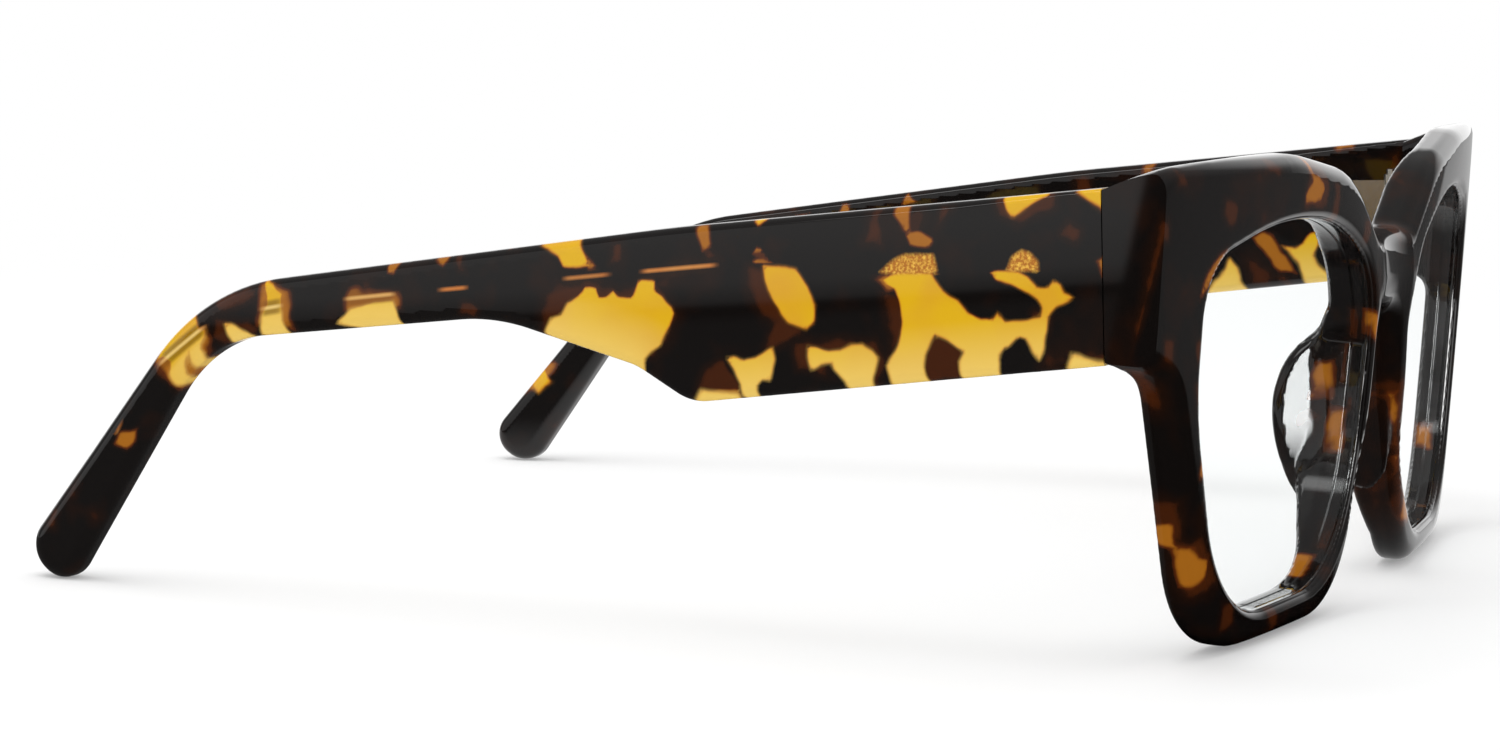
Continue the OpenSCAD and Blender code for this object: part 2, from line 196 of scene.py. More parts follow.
def fade(value, start, end):
    """0 at start and 1 at end, and held there beyond them."""
    return np.clip((value - start) / (end - start), 0, 1)


def skin(distance, low, high, step):
    """Points and quads on the zero level of a distance field, in a box from low to high."""
    axes = [np.arange(a, b + step, step) for a, b in zip(low, high)]
    field = distance(axes[0][:, None, None], axes[1][None, :, None], axes[2][None, None, :])
    inside = field < 0
    size = np.array(field.shape) - 1
    count = np.zeros(size, np.int8)
    for i, j, k in product((0, 1), repeat=3):
        count += inside[i:i + size[0], j:j + size[1], k:k + size[2]]
    crossed = (count > 0) & (count < 8)
    number = np.full(size, -1)
    number[crossed] = np.arange(int(crossed.sum()))
    cells = np.argwhere(crossed)
    total = np.zeros((len(cells), 3))
    hits = np.zeros(len(cells))
    for axis in range(3):
        for pair in product((0, 1), repeat=2):
            start = np.insert(np.array(pair), axis, 0)
            end = start + np.eye(3, dtype=int)[axis]
            a = field[tuple((cells + start).T)]
            b = field[tuple((cells + end).T)]
            cut = (a < 0) != (b < 0)
            share = np.where(cut, a / np.where(cut, a - b, 1), 0)
            total += cut[:, None] * (start + share[:, None] * np.eye(3)[axis])
            hits += cut
    points = np.array([axis[0] for axis in axes]) + step * (cells + total / hits[:, None])
    quads = []
    for axis in range(3):
        one, two = (axis + 1) % 3, (axis + 2) % 3
        ahead = np.moveaxis(inside, axis, 0)
        change = np.moveaxis(ahead[1:] != ahead[:-1], 0, axis)
        at = np.argwhere(change)
        at = at[(at[:, one] > 0) & (at[:, two] > 0) & (at[:, one] < size[one]) & (at[:, two] < size[two])]
        back_one, back_two = np.eye(3, dtype=int)[one], np.eye(3, dtype=int)[two]
        ring = [number[tuple((at - offset).T)] for offset in (back_one + back_two, back_two, 0, back_one)]
        ring = np.stack(ring, 1)
        outward = inside[tuple(at.T)]
        ring[~outward] = ring[~outward][:, ::-1]
        quads.append(ring)
    return points, np.concatenate(quads)


def settle(points, distance, rounds=4, nudge=0.01):
    """Slides points onto the zero level of a distance field."""
    points = points.copy()
    for _ in range(rounds):
        here = distance(*points.T)
        slope = [(distance(*(points + nudge * np.eye(3)[axis]).T) - here) / nudge for axis in range(3)]
        slope = np.stack(slope, 1)
        points -= slope * (here / np.maximum((slope * slope).sum(1), 0.25))[:, None]
    return points


def solid(name, distance, low, high, place, step):
    """A closed smooth mesh object of a distance field. place turns its points into bench points."""
    points, quads = skin(distance, low, high, step)
    points = settle(points, distance)
    mesh = bpy.data.meshes.new(name)
    mesh.from_pydata(to_model(place(points)).tolist(), [], quads.tolist())
    mesh.validate()
    mesh.shade_smooth()
    piece = add_object(name, mesh)
    print(name, "has", len(points), "points")
    return piece


# %% [markdown]
# The end pieces and the joints are sawn flat after tumbling, so those edges are crisp. A bisect cuts
# the rounded mesh there, fills the opening with one flat face and marks its rim sharp.

# %% Crisp saw cuts
def saw(piece, through, outward):
    """Cuts a piece with a plane, in bench millimetres, and closes it with a flat face."""
    work = bmesh.new()
    work.from_mesh(piece.data)
    point = Vector(to_model(through))
    found = bmesh.ops.bisect_plane(
        work, geom=work.verts[:] + work.edges[:] + work.faces[:], dist=1e-7,
        plane_co=point, plane_no=Vector(outward), clear_outer=True)
    rim = [e for e in found["geom_cut"] if isinstance(e, bmesh.types.BMEdge) and e.is_boundary]
    filled = bmesh.ops.holes_fill(work, edges=rim, sides=0)["faces"]
    for face in filled:
        face.smooth = False
        for edge in face.edges:
            edge.smooth = False
    bmesh.ops.recalc_face_normals(work, faces=work.faces[:])
    work.to_mesh(piece.data)
    work.free()
    return len(filled)


# %% [markdown]
# A mirror polish shows every facet of a mesh in its reflections. The field knows the exact slope of the
# surface at each point, so the smooth faces take their normals from it.

# %% Exact normals
def bench_points(piece):
    points = np.zeros(3 * len(piece.data.vertices))
    piece.data.vertices.foreach_get("co", points)
    return points.reshape(-1, 3) / MM - SHIFT


def polish(piece, distance, flatten, nudge=0.02):
    """Gives the smooth faces the normals of the distance field."""
    points = bench_points(piece)
    here = distance(*flatten(points).T)
    slope = [distance(*flatten(points + nudge * np.eye(3)[axis]).T) - here for axis in range(3)]
    slope = np.stack(slope, 1)
    slope /= np.maximum(np.linalg.norm(slope, axis=1), 1e-9)[:, None]
    mesh = piece.data
    corner = np.zeros(len(mesh.loops), int)
    mesh.loops.foreach_get("vertex_index", corner)
    normals = slope[corner]
    for face in mesh.polygons:
        if not face.use_smooth:
            normals[face.loop_start:face.loop_start + face.loop_total] = face.normal
    mesh.normals_split_custom_set(normals.tolist())


# %% [markdown]
# ## The front
# The front is cut from one sheet of acetate, 4.6 mm thick, and bent to a face curve. Its field lives
# in the flattened sheet: across, depth behind the front face, and up. There it is a plate with two
# openings and thick end pieces, which swells beside the nose, where the two pads are cemented on.
# `place_front` then bends it to the curve and leans its top forwards. The corners of `LENS` were fitted
# by a program to points read along the photograph's opening, so they differ from the CAD's.

# %% Sizes of the front
FACE_R = 322
FRONT_T = 4.6
TILT = radians(2.6)
SIDE_X = 71
JOINT_Y = 12.06
JOINT_Z = 41.17
AXIS_LEAN = radians(2.4)
END_LOW = 32.2
END_IN = 59.75
BLOCK_BACK = 12.9

LENS = outline([
    (23.9, 44.9, 41), (42.3, 45.9, 72), (60.4, 41.8, 7.3), (60.7, 27.5, 28),
    (52, 3.2, 17), (12, 4, 18.8), (8.3, 37.4, 13.2)])
FRONT = outline([
    (-30, 42.2, 0), (7.45, 42.2, 5), (19.95, 50.2, 22), (37.95, 52.6, 40), (74.5, 52.6, 7),
    (74.5, 33.2, 2), (66.3, 30.2, 6.5), (54.835, 0, 14), (15.4, 0, 14), (6.3, 22.5, 25),
    (5.42, 33, 3), (-30, 33, 0)])
SCOOP = 0.8
SCOOP_HALF = 7.95
SCOOP_R = (SCOOP_HALF ** 2 + SCOOP ** 2) / (2 * SCOOP)


def face_y(x):
    """Depth of the face curve at x."""
    return x * x / (2 * FACE_R)


def lean_front(x, y, z):
    return x, y * cos(TILT) - z * sin(TILT), y * sin(TILT) + z * cos(TILT)


def place_front(points):
    x, depth, z = points.T
    return np.stack(lean_front(x, depth + face_y(x), z), 1)


def flatten_front(points):
    """Bench points back in the flat sheet."""
    x, y, z = points.T
    return np.stack([x, y * cos(TILT) + z * sin(TILT) - face_y(x), z * cos(TILT) - y * sin(TILT)], 1)


# %% [markdown]
# The nose pad is a slab that leans with the rim and splays away from the nose. Its own side view is
# an outline too, measured along the rim and backwards. It reaches a little past the rim's outer line and
# is trimmed there. The names that end in EDGE are the radii of rounded edges, and those that end in
# HOLLOW are the radii of hollows where two forms join.

# %% Fields of the nose pad and of the front
PAD_FOOT = (6.5, 21.8)
PAD_T = 2.8
PAD_LEAN = radians(9)
PAD_SPLAY = radians(22)
PAD = outline([
    (-2, 10.6, 1), (1.8, 10.4, 5), (6.6, 5.6, 9), (7.9, 0.4, 16), (6.9, -4.8, 20),
    (4.8, -9.2, 12), (2.6, -11.8, 4), (-1, -12.6, 3), (-3, -12.6, 1)])
PAD_REACH = 1.6
PAD_CROWN_R = 110
PAD_CROWN_AT = 2
PAD_EDGE = 1.1


def pad_field(x, depth, z):
    dx, dy, dz = x - PAD_FOOT[0], depth - FRONT_T, z - PAD_FOOT[1]
    over = dx * cos(PAD_LEAN) + dz * sin(PAD_LEAN)
    up = dz * cos(PAD_LEAN) - dx * sin(PAD_LEAN)
    across = over * cos(PAD_SPLAY) - dy * sin(PAD_SPLAY)
    back = over * sin(PAD_SPLAY) + dy * cos(PAD_SPLAY)
    crown = (up * up + 2 * (back - PAD_CROWN_AT) ** 2) / (2 * PAD_CROWN_R)
    return meet(outline_distance(back, up, PAD), abs(across - PAD_T / 2) - PAD_T / 2 + crown, PAD_EDGE)


SWELL_T = 1.3
SWELL_AT_PADS = 1.5
SWELL_SIDE = (24, 15)
SWELL_FOOT = (4, 13)
SWELL_PADS = (34, 30)


def swell(side, z):
    """How much thicker than the sheet the front is beside the nose, where the pads are cemented on."""
    return fade(side, *SWELL_SIDE) * fade(z, *SWELL_FOOT) * (SWELL_T + SWELL_AT_PADS * fade(z, *SWELL_PADS))


PILLOW_W = 6
PILLOW_R = 22
PILLOW_MIDDLE, PILLOW_LEAST, PILLOW_REACH = 1.2, 0.15, 40
OUTER_FRONT_EDGE, OUTER_BACK_EDGE = 1.9, 1.1
OPENING_FRONT_EDGE, OPENING_BACK_EDGE = 1.3, 0.9
BLOCK_DEPTH = 3.6
BLOCK_EDGE = 1.2
BLOCK_HOLLOW = 3
SLOPE_TILT = 0.4
SLOPE_Z = 50.2
SLOPE_EDGE = 1
TRIM_EDGE = 1.2
PAD_HOLLOW = 0.7
FRONT_BOX = ((-75.5, -1.3, -1.1), (75.5, 16, 54))


def front_field(x, depth, z):
    side = abs(x)
    outer = outline_distance(side, z, FRONT)
    hole = -outline_distance(side, z, LENS)
    scoop = np.sqrt(np.maximum(SCOOP_R ** 2 - np.minimum(side, SCOOP_HALF) ** 2, 0)) - SCOOP_R + SCOOP
    ahead = np.maximum(scoop - face_y(side), 0) * (side < SCOOP_HALF) - depth
    pillow = np.clip(PILLOW_MIDDLE - side / PILLOW_REACH, PILLOW_LEAST, 1)
    ahead = ahead + pillow * np.maximum(outer + PILLOW_W, 0) ** 2 / (2 * PILLOW_R)
    behind = depth - FRONT_T - swell(side, z)
    plate = np.maximum(meet(outer, ahead, OUTER_FRONT_EDGE), meet(outer, behind, OUTER_BACK_EDGE))
    opening = np.maximum(meet(hole, ahead, OPENING_FRONT_EDGE), meet(hole, behind, OPENING_BACK_EDGE))
    plate = np.maximum(plate, opening)
    block = np.maximum(END_IN - side, END_LOW - z)
    block = meet(np.maximum(outer, BLOCK_DEPTH - depth), block, BLOCK_EDGE)
    plate = np.maximum(melt(plate, block, BLOCK_HOLLOW), np.maximum(outer, hole))
    _, bench_y, bench_z = lean_front(side, depth + face_y(side), z)
    slope = (bench_z - SLOPE_Z) * cos(SLOPE_TILT) - (JOINT_Y - bench_y) * sin(SLOPE_TILT)
    plate = np.maximum(meet(plate, slope, SLOPE_EDGE), depth - BLOCK_BACK)
    slab = meet(pad_field(side, depth, z), outer - PAD_REACH, TRIM_EDGE)
    return melt(plate, slab, PAD_HOLLOW)


front = solid("acetate_front", front_field, *FRONT_BOX, place_front, FRONT_STEP)
joint_normal = (0, cos(AXIS_LEAN), -sin(AXIS_LEAN))
print("cuts:", saw(front, (SIDE_X, 0, 0), (1, 0, 0)), saw(front, (-SIDE_X, 0, 0), (-1, 0, 0)),
      saw(front, (0, JOINT_Y, JOINT_Z), joint_normal))
polish(front, front_field, flatten_front)

# %% [markdown]
# ## The temples
# A temple is broad at the hinge, narrows in a step and bends down behind the ear. Its field lives in
# the flattened temple: depth under the outer face, along, and up. Its edges are crisp at the joint and
# rounder behind it, and rounder again at the tip.

# %% Temple shape
TEMPLE_T = 4.4
TEMPLE_R = 1090
GAP = 0.12
TIP = np.array([140.66, 3.9])
TIP_R = 3.9
TIP_DIR = unit(TIP - np.array([120.06, 31.99]))
TIP_SIDE = np.array([-TIP_DIR[1], TIP_DIR[0]])
tip_out = TIP + TIP_R * (TIP_SIDE + TIP_DIR)
tip_in = TIP + TIP_R * (TIP_DIR - TIP_SIDE)
TEMPLE = outline([
    (6.06, 50.96, 0.4), (60.66, 44.29, 260), (120.06, 34.94, 28), (*tip_out, TIP_R),
    (*tip_in, TIP_R), (119.66, 29.04, 17), (81.86, 33.7, 24), (64.46, 29.4, 8),
    (57.86, 25.8, 6), (6.06, 33.06, 0.6)])


JOINT_EDGE = 0.4
ROUNDER = 0.7
BEHIND_JOINT = (14, 28)
TOWARDS_TIP = (112, 136)
TEMPLE_BOX = ((-0.6, 5, -0.6), (5, 146, 52))


def temple_in(y):
    """How far a temple has curved inwards at y."""
    return np.maximum(y - JOINT_Y, 0) ** 2 / (2 * TEMPLE_R)


def temple_field(depth, y, z):
    edge = JOINT_EDGE + ROUNDER * fade(y, *BEHIND_JOINT) + ROUNDER * fade(y, *TOWARDS_TIP)
    side = outline_distance(y, z, TEMPLE)
    return np.maximum(meet(side, -depth, edge), meet(side, depth - TEMPLE_T, edge))


def temple(name, hand):
    """The acetate of one temple. hand is -1 for the wearer's right and 1 for the left."""
    def place(points):
        depth, y, z = points.T
        return np.stack([hand * (SIDE_X - temple_in(y) - depth), y, z], 1)

    def flatten(points):
        x, y, z = points.T
        return np.stack([SIDE_X - temple_in(y) - hand * x, y, z], 1)

    piece = solid(name, temple_field, *TEMPLE_BOX, place, TEMPLE_STEP)
    if hand > 0:
        piece.data.flip_normals()
    saw(piece, (0, JOINT_Y + GAP, JOINT_Z), [-v for v in joint_normal])
    polish(piece, temple_field, flatten)
    return piece


temple_right = temple("acetate_temple_right", -1)
temple_left = temple("acetate_temple_left", 1)

# %% [markdown]
# ## The lenses
# A demo lens is a thin clear sheet that snaps into a groove in the rim. It only shows by its glare and
# by its edge. It is built from its own outline: a flat face sliced upright, bent to the face curve and
# given its thickness.

# %% Lens sheets
LENS_BACK = 2.9
LENS_T = 1.8
LENS_SLICES = np.arange(8, 64, 1.5)


def lens(name, hand):
    rim = outline_points(LENS, 2)
    work = bmesh.new()
    face = work.faces.new([work.verts.new((hand * x, 0, z)) for x, z in rim])
    for slice_x in LENS_SLICES:
        bmesh.ops.bisect_plane(work, geom=work.verts[:] + work.edges[:] + work.faces[:],
                               plane_co=(hand * slice_x, 0, 0), plane_no=(1, 0, 0))
    made = bmesh.ops.extrude_face_region(work, geom=work.faces[:])["geom"]
    back = {v for v in made if isinstance(v, bmesh.types.BMVert)}
    for vert in work.verts:
        x, _, z = vert.co
        depth = LENS_BACK - (0 if vert in back else LENS_T)
        bent = lean_front(x, face_y(x) + depth, z)
        vert.co = Vector(to_model(bent))
    bmesh.ops.recalc_face_normals(work, faces=work.faces[:])
    rims = [e for e in work.edges if e.calc_face_angle(0) > 1]
    for edge in rims:
        edge.smooth = False
    mesh = bpy.data.meshes.new(name)
    work.to_mesh(mesh)
    work.free()
    mesh.shade_smooth()
    return add_object(name, mesh)


lens_right = lens("clear_lens_right", -1)
lens_left = lens("clear_lens_left", 1)

# %% [markdown]
# ## Tortoiseshell pattern
# Tortoiseshell acetate is pressed from clear honey blocks and dark ones, so its patches have soft
# amber edges and run through the whole sheet. A pattern of random noise never lands in the right
# places, so the patches lie on a stencil, in millimetres. Many of their corners were read from the
# photograph and turned into millimetres with the help of a program. Each point of the mesh keeps how
# deep it lies in the nearest patch, with 0 and 1 at the two ends of the patch's soft edge.

# %% Stencil of patches
def patch_distance(across, up, points):
    """Distance in mm into a patch, negative outside it."""
    nearest = np.full(across.shape, 1e9)
    inside = np.zeros(across.shape, bool)
    for i, end in enumerate(points):
        start = np.array(points[i - 1], float)
        run = np.array(end, float) - start
        dx, dy = across - start[0], up - start[1]
        along = np.clip((dx * run[0] + dy * run[1]) / max(run @ run, 1e-9), 0, 1)
        nearest = np.minimum(nearest, np.hypot(dx - along * run[0], dy - along * run[1]))
        if run[1] != 0:
            above = (start[1] > up) != (end[1] > up)
            inside ^= above & (across < start[0] + run[0] * dy / run[1])
    return np.where(inside, nearest, -nearest)


FAR_OUT = 2.5


def stencil(across, up, patches, depth=None):
    """Depth into the nearest patch, with 0 and 1 at the two ends of its soft edge.
    A patch may end with the depths between which it lies in the sheet."""
    best = np.full(across.shape, -FAR_OUT)
    for soft, corners, *layer in patches:
        low, high = np.min(corners, 0) - 2 * FAR_OUT * soft, np.max(corners, 0) + 2 * FAR_OUT * soft
        near = (across > low[0]) & (across < high[0]) & (up > low[1]) & (up < high[1])
        if near.any():
            inwards = patch_distance(across[near], up[near], corners)
            for shallow, deep in layer:
                inwards = np.minimum(inwards, np.minimum(depth[near] - shallow, deep - depth[near]))
            best[near] = np.maximum(best[near], 0.5 + inwards / (2 * soft))
    return np.clip(best, -FAR_OUT, FAR_OUT)


def paint_layer(piece, name, values):
    layer = piece.data.attributes.new(name, "FLOAT", "POINT")
    layer.data.foreach_set("value", values.astype(np.float32))
    print(piece.name, name, "covers", round(float((values > 0.5).mean()), 3))


# %% [markdown]
# The patches of the temples, as (softness of the edge in mm, corners). Honey patches are the clear
# blocks. Amber and brown patches lie deeper in the sheet, so they look darker. The left temple is seen
# only in part, so some of the right one's patches are repeated there in another place.

# %% Patches of the right temple
RIGHT_HONEY = [
    (0.35, [(36.2, 39.8), (34.6, 39), (34, 37.5), (33.6, 35.5), (34, 33.5), (34.6, 32.3), (35.2, 31.2),
            (34.8, 28.6), (30.6, 29.2), (31.2, 31.2), (31, 32.6), (30, 34.6), (28.6, 34), (26.8, 33),
            (27.2, 31.8), (27, 29.6), (23, 30.2), (23, 32.6), (22.5, 33.6), (21.9, 33.7), (20.9, 34.8),
            (20.1, 34.7), (19.3, 33.2), (18.7, 32.6), (18.2, 33.4), (18, 35), (17.9, 37), (16.9, 38),
            (15.1, 39), (16.2, 39.5), (16.7, 40.3), (17.3, 40.6), (17.9, 39.9), (19, 39.9), (20, 41),
            (21.2, 41.4), (23.2, 41.4), (24, 41.2), (23.4, 40.5), (21.8, 40.2), (20.4, 39.5), (19, 38.9),
            (18.4, 38), (18.5, 36.9), (19.8, 36.5), (22.4, 36.4), (23.2, 37.1), (23.8, 36.4), (25.1, 36.4),
            (26.4, 37), (27.5, 38.2), (29.1, 39), (29.8, 39.8), (30.5, 41), (34, 40.9)]),
    (0.35, [(75.2, 32.4), (74.5, 34), (73.1, 34.3), (72.5, 35.7), (71.2, 36.5), (70.4, 37.6), (69, 37.6),
            (68.6, 36.6), (67.6, 36.7), (67, 37.3), (66.4, 36.7), (64.7, 36.7), (64.3, 37.5), (63.9, 38.6),
            (62, 38.7), (62, 37.6), (61, 36.9), (60, 36), (59.7, 35.4), (60.1, 34), (60.9, 32.6),
            (61.2, 31.7), (62.3, 31.2), (63.1, 30.2), (63.1, 29.2), (63.8, 28), (67, 29), (71.5, 31),
            (74, 31.6)]),
    (0.4, [(49.4, 40.8), (47.6, 40.9), (46.4, 40.7), (45.6, 40.7), (45, 39.8), (44.2, 38.6), (43.4, 36.9),
           (43.5, 35.1), (44.4, 34.4), (45.5, 34.7), (46.5, 35), (47.3, 35.8), (48.1, 37.2), (48.8, 38.3),
           (49.2, 39.4)]),
    (0.35, [(53.6, 31), (52.6, 31.1), (51.6, 30.7), (50.3, 31.1), (49.1, 31.8), (48.2, 32.3), (48, 31.2),
            (48.4, 28.8), (49.4, 28.8), (50, 28.2), (49.8, 26), (51.2, 26), (51.7, 28.2), (52.5, 29.4)]),
    (0.5, [(57.1, 26.2), (56.4, 27.4), (54.5, 27.3), (52.2, 27), (51.6, 25.4), (57.5, 25)]),
    (0.4, [(44.2, 32.6), (43.2, 32.6), (41.9, 32.2), (40.4, 32.4), (39.4, 33), (38.1, 33.2), (37, 32.6),
           (36.2, 31.8), (36.6, 30.4), (37.1, 27.8), (39.4, 27.8), (39.9, 29.2), (41, 30.4), (41.4, 31.2),
           (42.6, 30.9), (43.7, 30.1), (44.2, 31.4)]),
    (0.4, [(23.2, 49.4), (22.8, 51), (17.6, 51.5), (18, 49.3), (19.4, 48.6), (20.9, 47.6), (21.8, 46.9),
           (22.5, 47.7)]),
    (0.6, [(15, 50), (11, 51.5), (11, 47), (13, 48.3), (14, 49)]),
    (0.5, [(15.2, 33.4), (15.6, 31.5), (11, 31.5), (11, 32.5), (13.6, 33)]),
    (0.4, [(52.2, 46.8), (52, 48), (49.2, 48), (49.3, 45.6), (50, 44.9), (51, 45.6)]),
    (0.4, [(76.8, 42), (74.4, 44.5), (70.8, 44.5), (71.2, 42.6), (70.4, 41.2), (69.6, 39.8), (71.6, 39.6),
           (73, 39.6), (73.6, 40.7), (75, 41.5)]),
    (0.35, [(101.6, 32), (100, 33.6), (97.5, 34.5), (94.3, 35), (93.9, 34), (93, 31)]),
    (0.4, [(111.8, 30), (111.7, 32.6), (110.9, 33.6), (111, 34.6), (111.9, 37), (110.2, 36), (109.6, 35.4),
           (108.8, 35), (108.9, 33.6), (108.9, 32), (108, 30)]),
    (0.4, [(116.7, 31.2), (115.6, 31.2), (114.4, 30.6), (112.9, 29.8), (115.5, 28)]),
    (0.5, [(126.6, 26.2), (125.8, 27.8), (124.9, 29.6), (123.6, 32), (122.3, 33), (120.4, 31.2),
           (120, 30.4), (119.1, 30.4), (119.4, 29.4), (120.1, 28.4), (119.7, 27.6), (119.7, 26.5),
           (121, 25), (121.3, 26.4), (121.6, 27.9), (122.2, 26.4), (122.4, 25.2), (122, 23.6), (123.6, 23.8),
           (124.4, 25), (124.2, 26.4), (125.2, 26.8)])]
RIGHT_AMBER = [
    (0.6, [(57.2, 25.6), (56.4, 27.6), (54.4, 27.8), (52, 27.6), (51.2, 25)]),
    (0.45, [(35, 46.6), (34.8, 50), (29, 50.5), (29.4, 48.6), (31.8, 48.3), (32.9, 47.6), (32.9, 45),
            (33.6, 44.9), (34.4, 46)]),
    (0.35, [(33.6, 45), (31.8, 45.2), (30.4, 44.5), (30.2, 43.9), (31, 43.3), (33, 43.5)]),
    (0.45, [(12.9, 43), (11, 43.8), (11, 40), (12.2, 41.2), (12.6, 42.3)]),
    (0.45, [(57.7, 44.8), (56.8, 45), (55.9, 44.9), (55.6, 43.8), (55.4, 42.6), (56.4, 42)]),
    (0.25, [(50.7, 42), (50, 42.9), (49, 42)]),
    (0.25, [(50.6, 41.5), (49, 41.7), (48, 41.1), (50.6, 41)]),
    (0.4, [(71, 42), (68.6, 39.6), (70, 39.4), (71.5, 41)]),
    (0.35, [(80, 41.2), (79, 43.5), (77, 42), (79.4, 41.4)]),
    (0.4, [(89.2, 39.6), (88.4, 41.5), (87.2, 41.5), (87.2, 39.6), (88, 38.9)]),
    (0.4, [(95.4, 39.6), (95.1, 37.8), (94.2, 37.8), (93, 40)]),
    (0.6, [(37, 40.2), (35.4, 40.6), (33, 39), (35.4, 38.6)]),
    (0.9, [(100, 36.2), (93.6, 36), (93, 34), (96, 33.4), (101, 33)]),
    (0.9, [(112.4, 31), (112.2, 36.6), (107.8, 35.6), (107.4, 31)]),
    (1.0, [(127.4, 26.4), (125, 30.6), (119, 30.8), (118.4, 29.2), (119.8, 25.4), (123.4, 23)]),
    (0.5, [(132.2, 16.4), (131.5, 17.9), (128.7, 18.6), (129.2, 16.7), (130.5, 15.8)])]
RIGHT_BROWN = [
    (0.9, [(36.4, 39), (33, 39), (33, 34), (35.8, 30), (35, 34)]),
    (0.9, [(32, 35), (25, 34), (26, 30), (31.8, 28.6)]),
    (0.8, [(19.6, 37.4), (17, 38.4), (17.8, 33.6), (20, 34.4)]),
    (1.1, [(51.2, 40.8), (48, 40.8), (45, 38), (45.4, 34.4), (48.4, 34.4), (50.6, 36.2), (51.4, 38.4)]),
    (0.8, [(47.6, 36.4), (44.3, 35.6), (44.8, 33.4), (47.6, 32.2), (50, 31.2), (49, 33)]),
    (0.8, [(57.6, 25.6), (57, 28), (56.2, 29.4), (55, 30.4), (53.8, 31), (52, 29), (50.6, 26)]),
    (0.8, [(46.2, 33.2), (42, 33.4), (42, 29.6), (45.4, 30)]),
    (1.0, [(44, 33.6), (36.4, 33.9), (35, 31.6), (36, 28), (42, 31)]),
    (0.8, [(24.4, 50), (17, 51), (17, 48), (21, 46), (23.4, 47)]),
    (0.8, [(16, 34), (15.8, 31.5), (11, 31.5), (11, 33.6)]),
    (1.2, [(75.6, 36.6), (73.4, 38.2), (69, 38.6), (66, 37.6), (62, 39.4), (61, 38), (59, 36), (60, 32),
           (62, 30), (76, 31)]),
    (0.8, [(56.6, 43), (54, 41.2), (56, 41)]),
    (1.0, [(38.2, 43.6), (37.5, 46.8), (36.2, 47.8), (35.8, 45), (36, 43.4)]),
    (0.8, [(30.2, 45.2), (29.5, 47.8), (28.2, 47.6)]),
    (0.8, [(16.6, 45.4), (16, 46.8), (14.4, 46), (15, 44.4)]),
    (0.7, [(67.7, 39.9), (67, 42.6), (65.8, 42.6), (65.9, 40.4)]),
    (0.6, [(85.8, 34), (85.6, 35.3), (84.4, 35.4), (83.2, 34.6), (84, 33.6)]),
    (0.6, [(87, 41), (85.8, 41), (84.8, 38.2), (86, 38.4)]),
    (0.9, [(118, 31.8), (113.6, 31.8), (111, 31), (115.4, 28), (118.6, 29.4)]),
    (0.9, [(119, 33.6), (117, 34.8), (112, 35.8), (112, 33.6), (117.6, 32.2)]),
    (0.9, [(139.6, 9), (138.5, 11.2), (137.2, 12.4), (137.6, 9.8)]),
    (0.9, [(142.4, 5.8), (141.5, 8), (140.3, 8.3), (140.7, 5.8)])]
LEFT_HONEY = [
    (0.5, [(40.8, 27.5), (38.4, 31), (37.2, 33), (36.2, 32), (35.6, 30.2), (34, 28)]),
    (0.5, [(30.2, 35.3), (28.3, 35.1), (27.2, 35.6), (26.2, 37.2), (24.8, 37.5), (25.2, 35.5), (25.8, 34.2),
           (25, 33), (23.8, 31.8), (22, 29.5), (26.2, 29.5), (27.8, 33), (29, 34.3)]),
    (0.6, [(139.6, 11.2), (137.4, 13.4), (135.8, 11.6), (138, 10)])]
LEFT_AMBER = [
    (0.6, [(34.2, 36.2), (32.8, 37.2), (31.2, 36.8), (30.2, 35), (29.2, 33.8), (27.6, 31.4), (30.2, 31.6),
           (32.2, 33.6)]),
    (0.8, [(50, 46), (48, 46), (48, 44), (50, 44)]),
    (0.8, [(24, 50.5), (20, 51), (20.5, 48.5), (23, 48)]),
    (0.8, [(141, 9.5), (139.4, 12), (137, 15), (135, 14.4), (137.6, 10.4)])]
LEFT_SHIFT = np.array([4.5, -1])
LEFT_SQUEEZE = (1, 0.96)
FIRST_Y, LAST_Y = 47, 104
HIGHEST_Z = 41
for there, here in ((RIGHT_HONEY, LEFT_HONEY), (RIGHT_AMBER, LEFT_AMBER)):
    for soft, corners in there:
        moved = np.array(corners) * LEFT_SQUEEZE + LEFT_SHIFT
        along_temple, height = moved.T
        if along_temple.min() > FIRST_Y and along_temple.max() < LAST_Y and height.max() < HIGHEST_Z:
            here.append((soft, moved.tolist()))
LEFT_BROWN = [
    (1.8, [(35.4, 33.6), (33, 34), (31, 31), (31.6, 29), (34.6, 29)]),
    (1.8, [(30, 33), (27.6, 30.4), (28, 28), (31, 29)]),
    (1.0, [(22, 36), (24, 38), (22, 40), (20, 38), (20.4, 35)]),
    (1.0, [(60, 44), (57, 44), (56, 41), (59, 41)]),
    (1.0, [(16, 48), (14, 49), (13.4, 45), (16, 45)])]

# %% [markdown]
# The patches of the front. A patch ends with the depths between which it lies: the skin, the whole
# sheet or a part of the opening's wall. The front has no honey patch, but the material reads that layer.

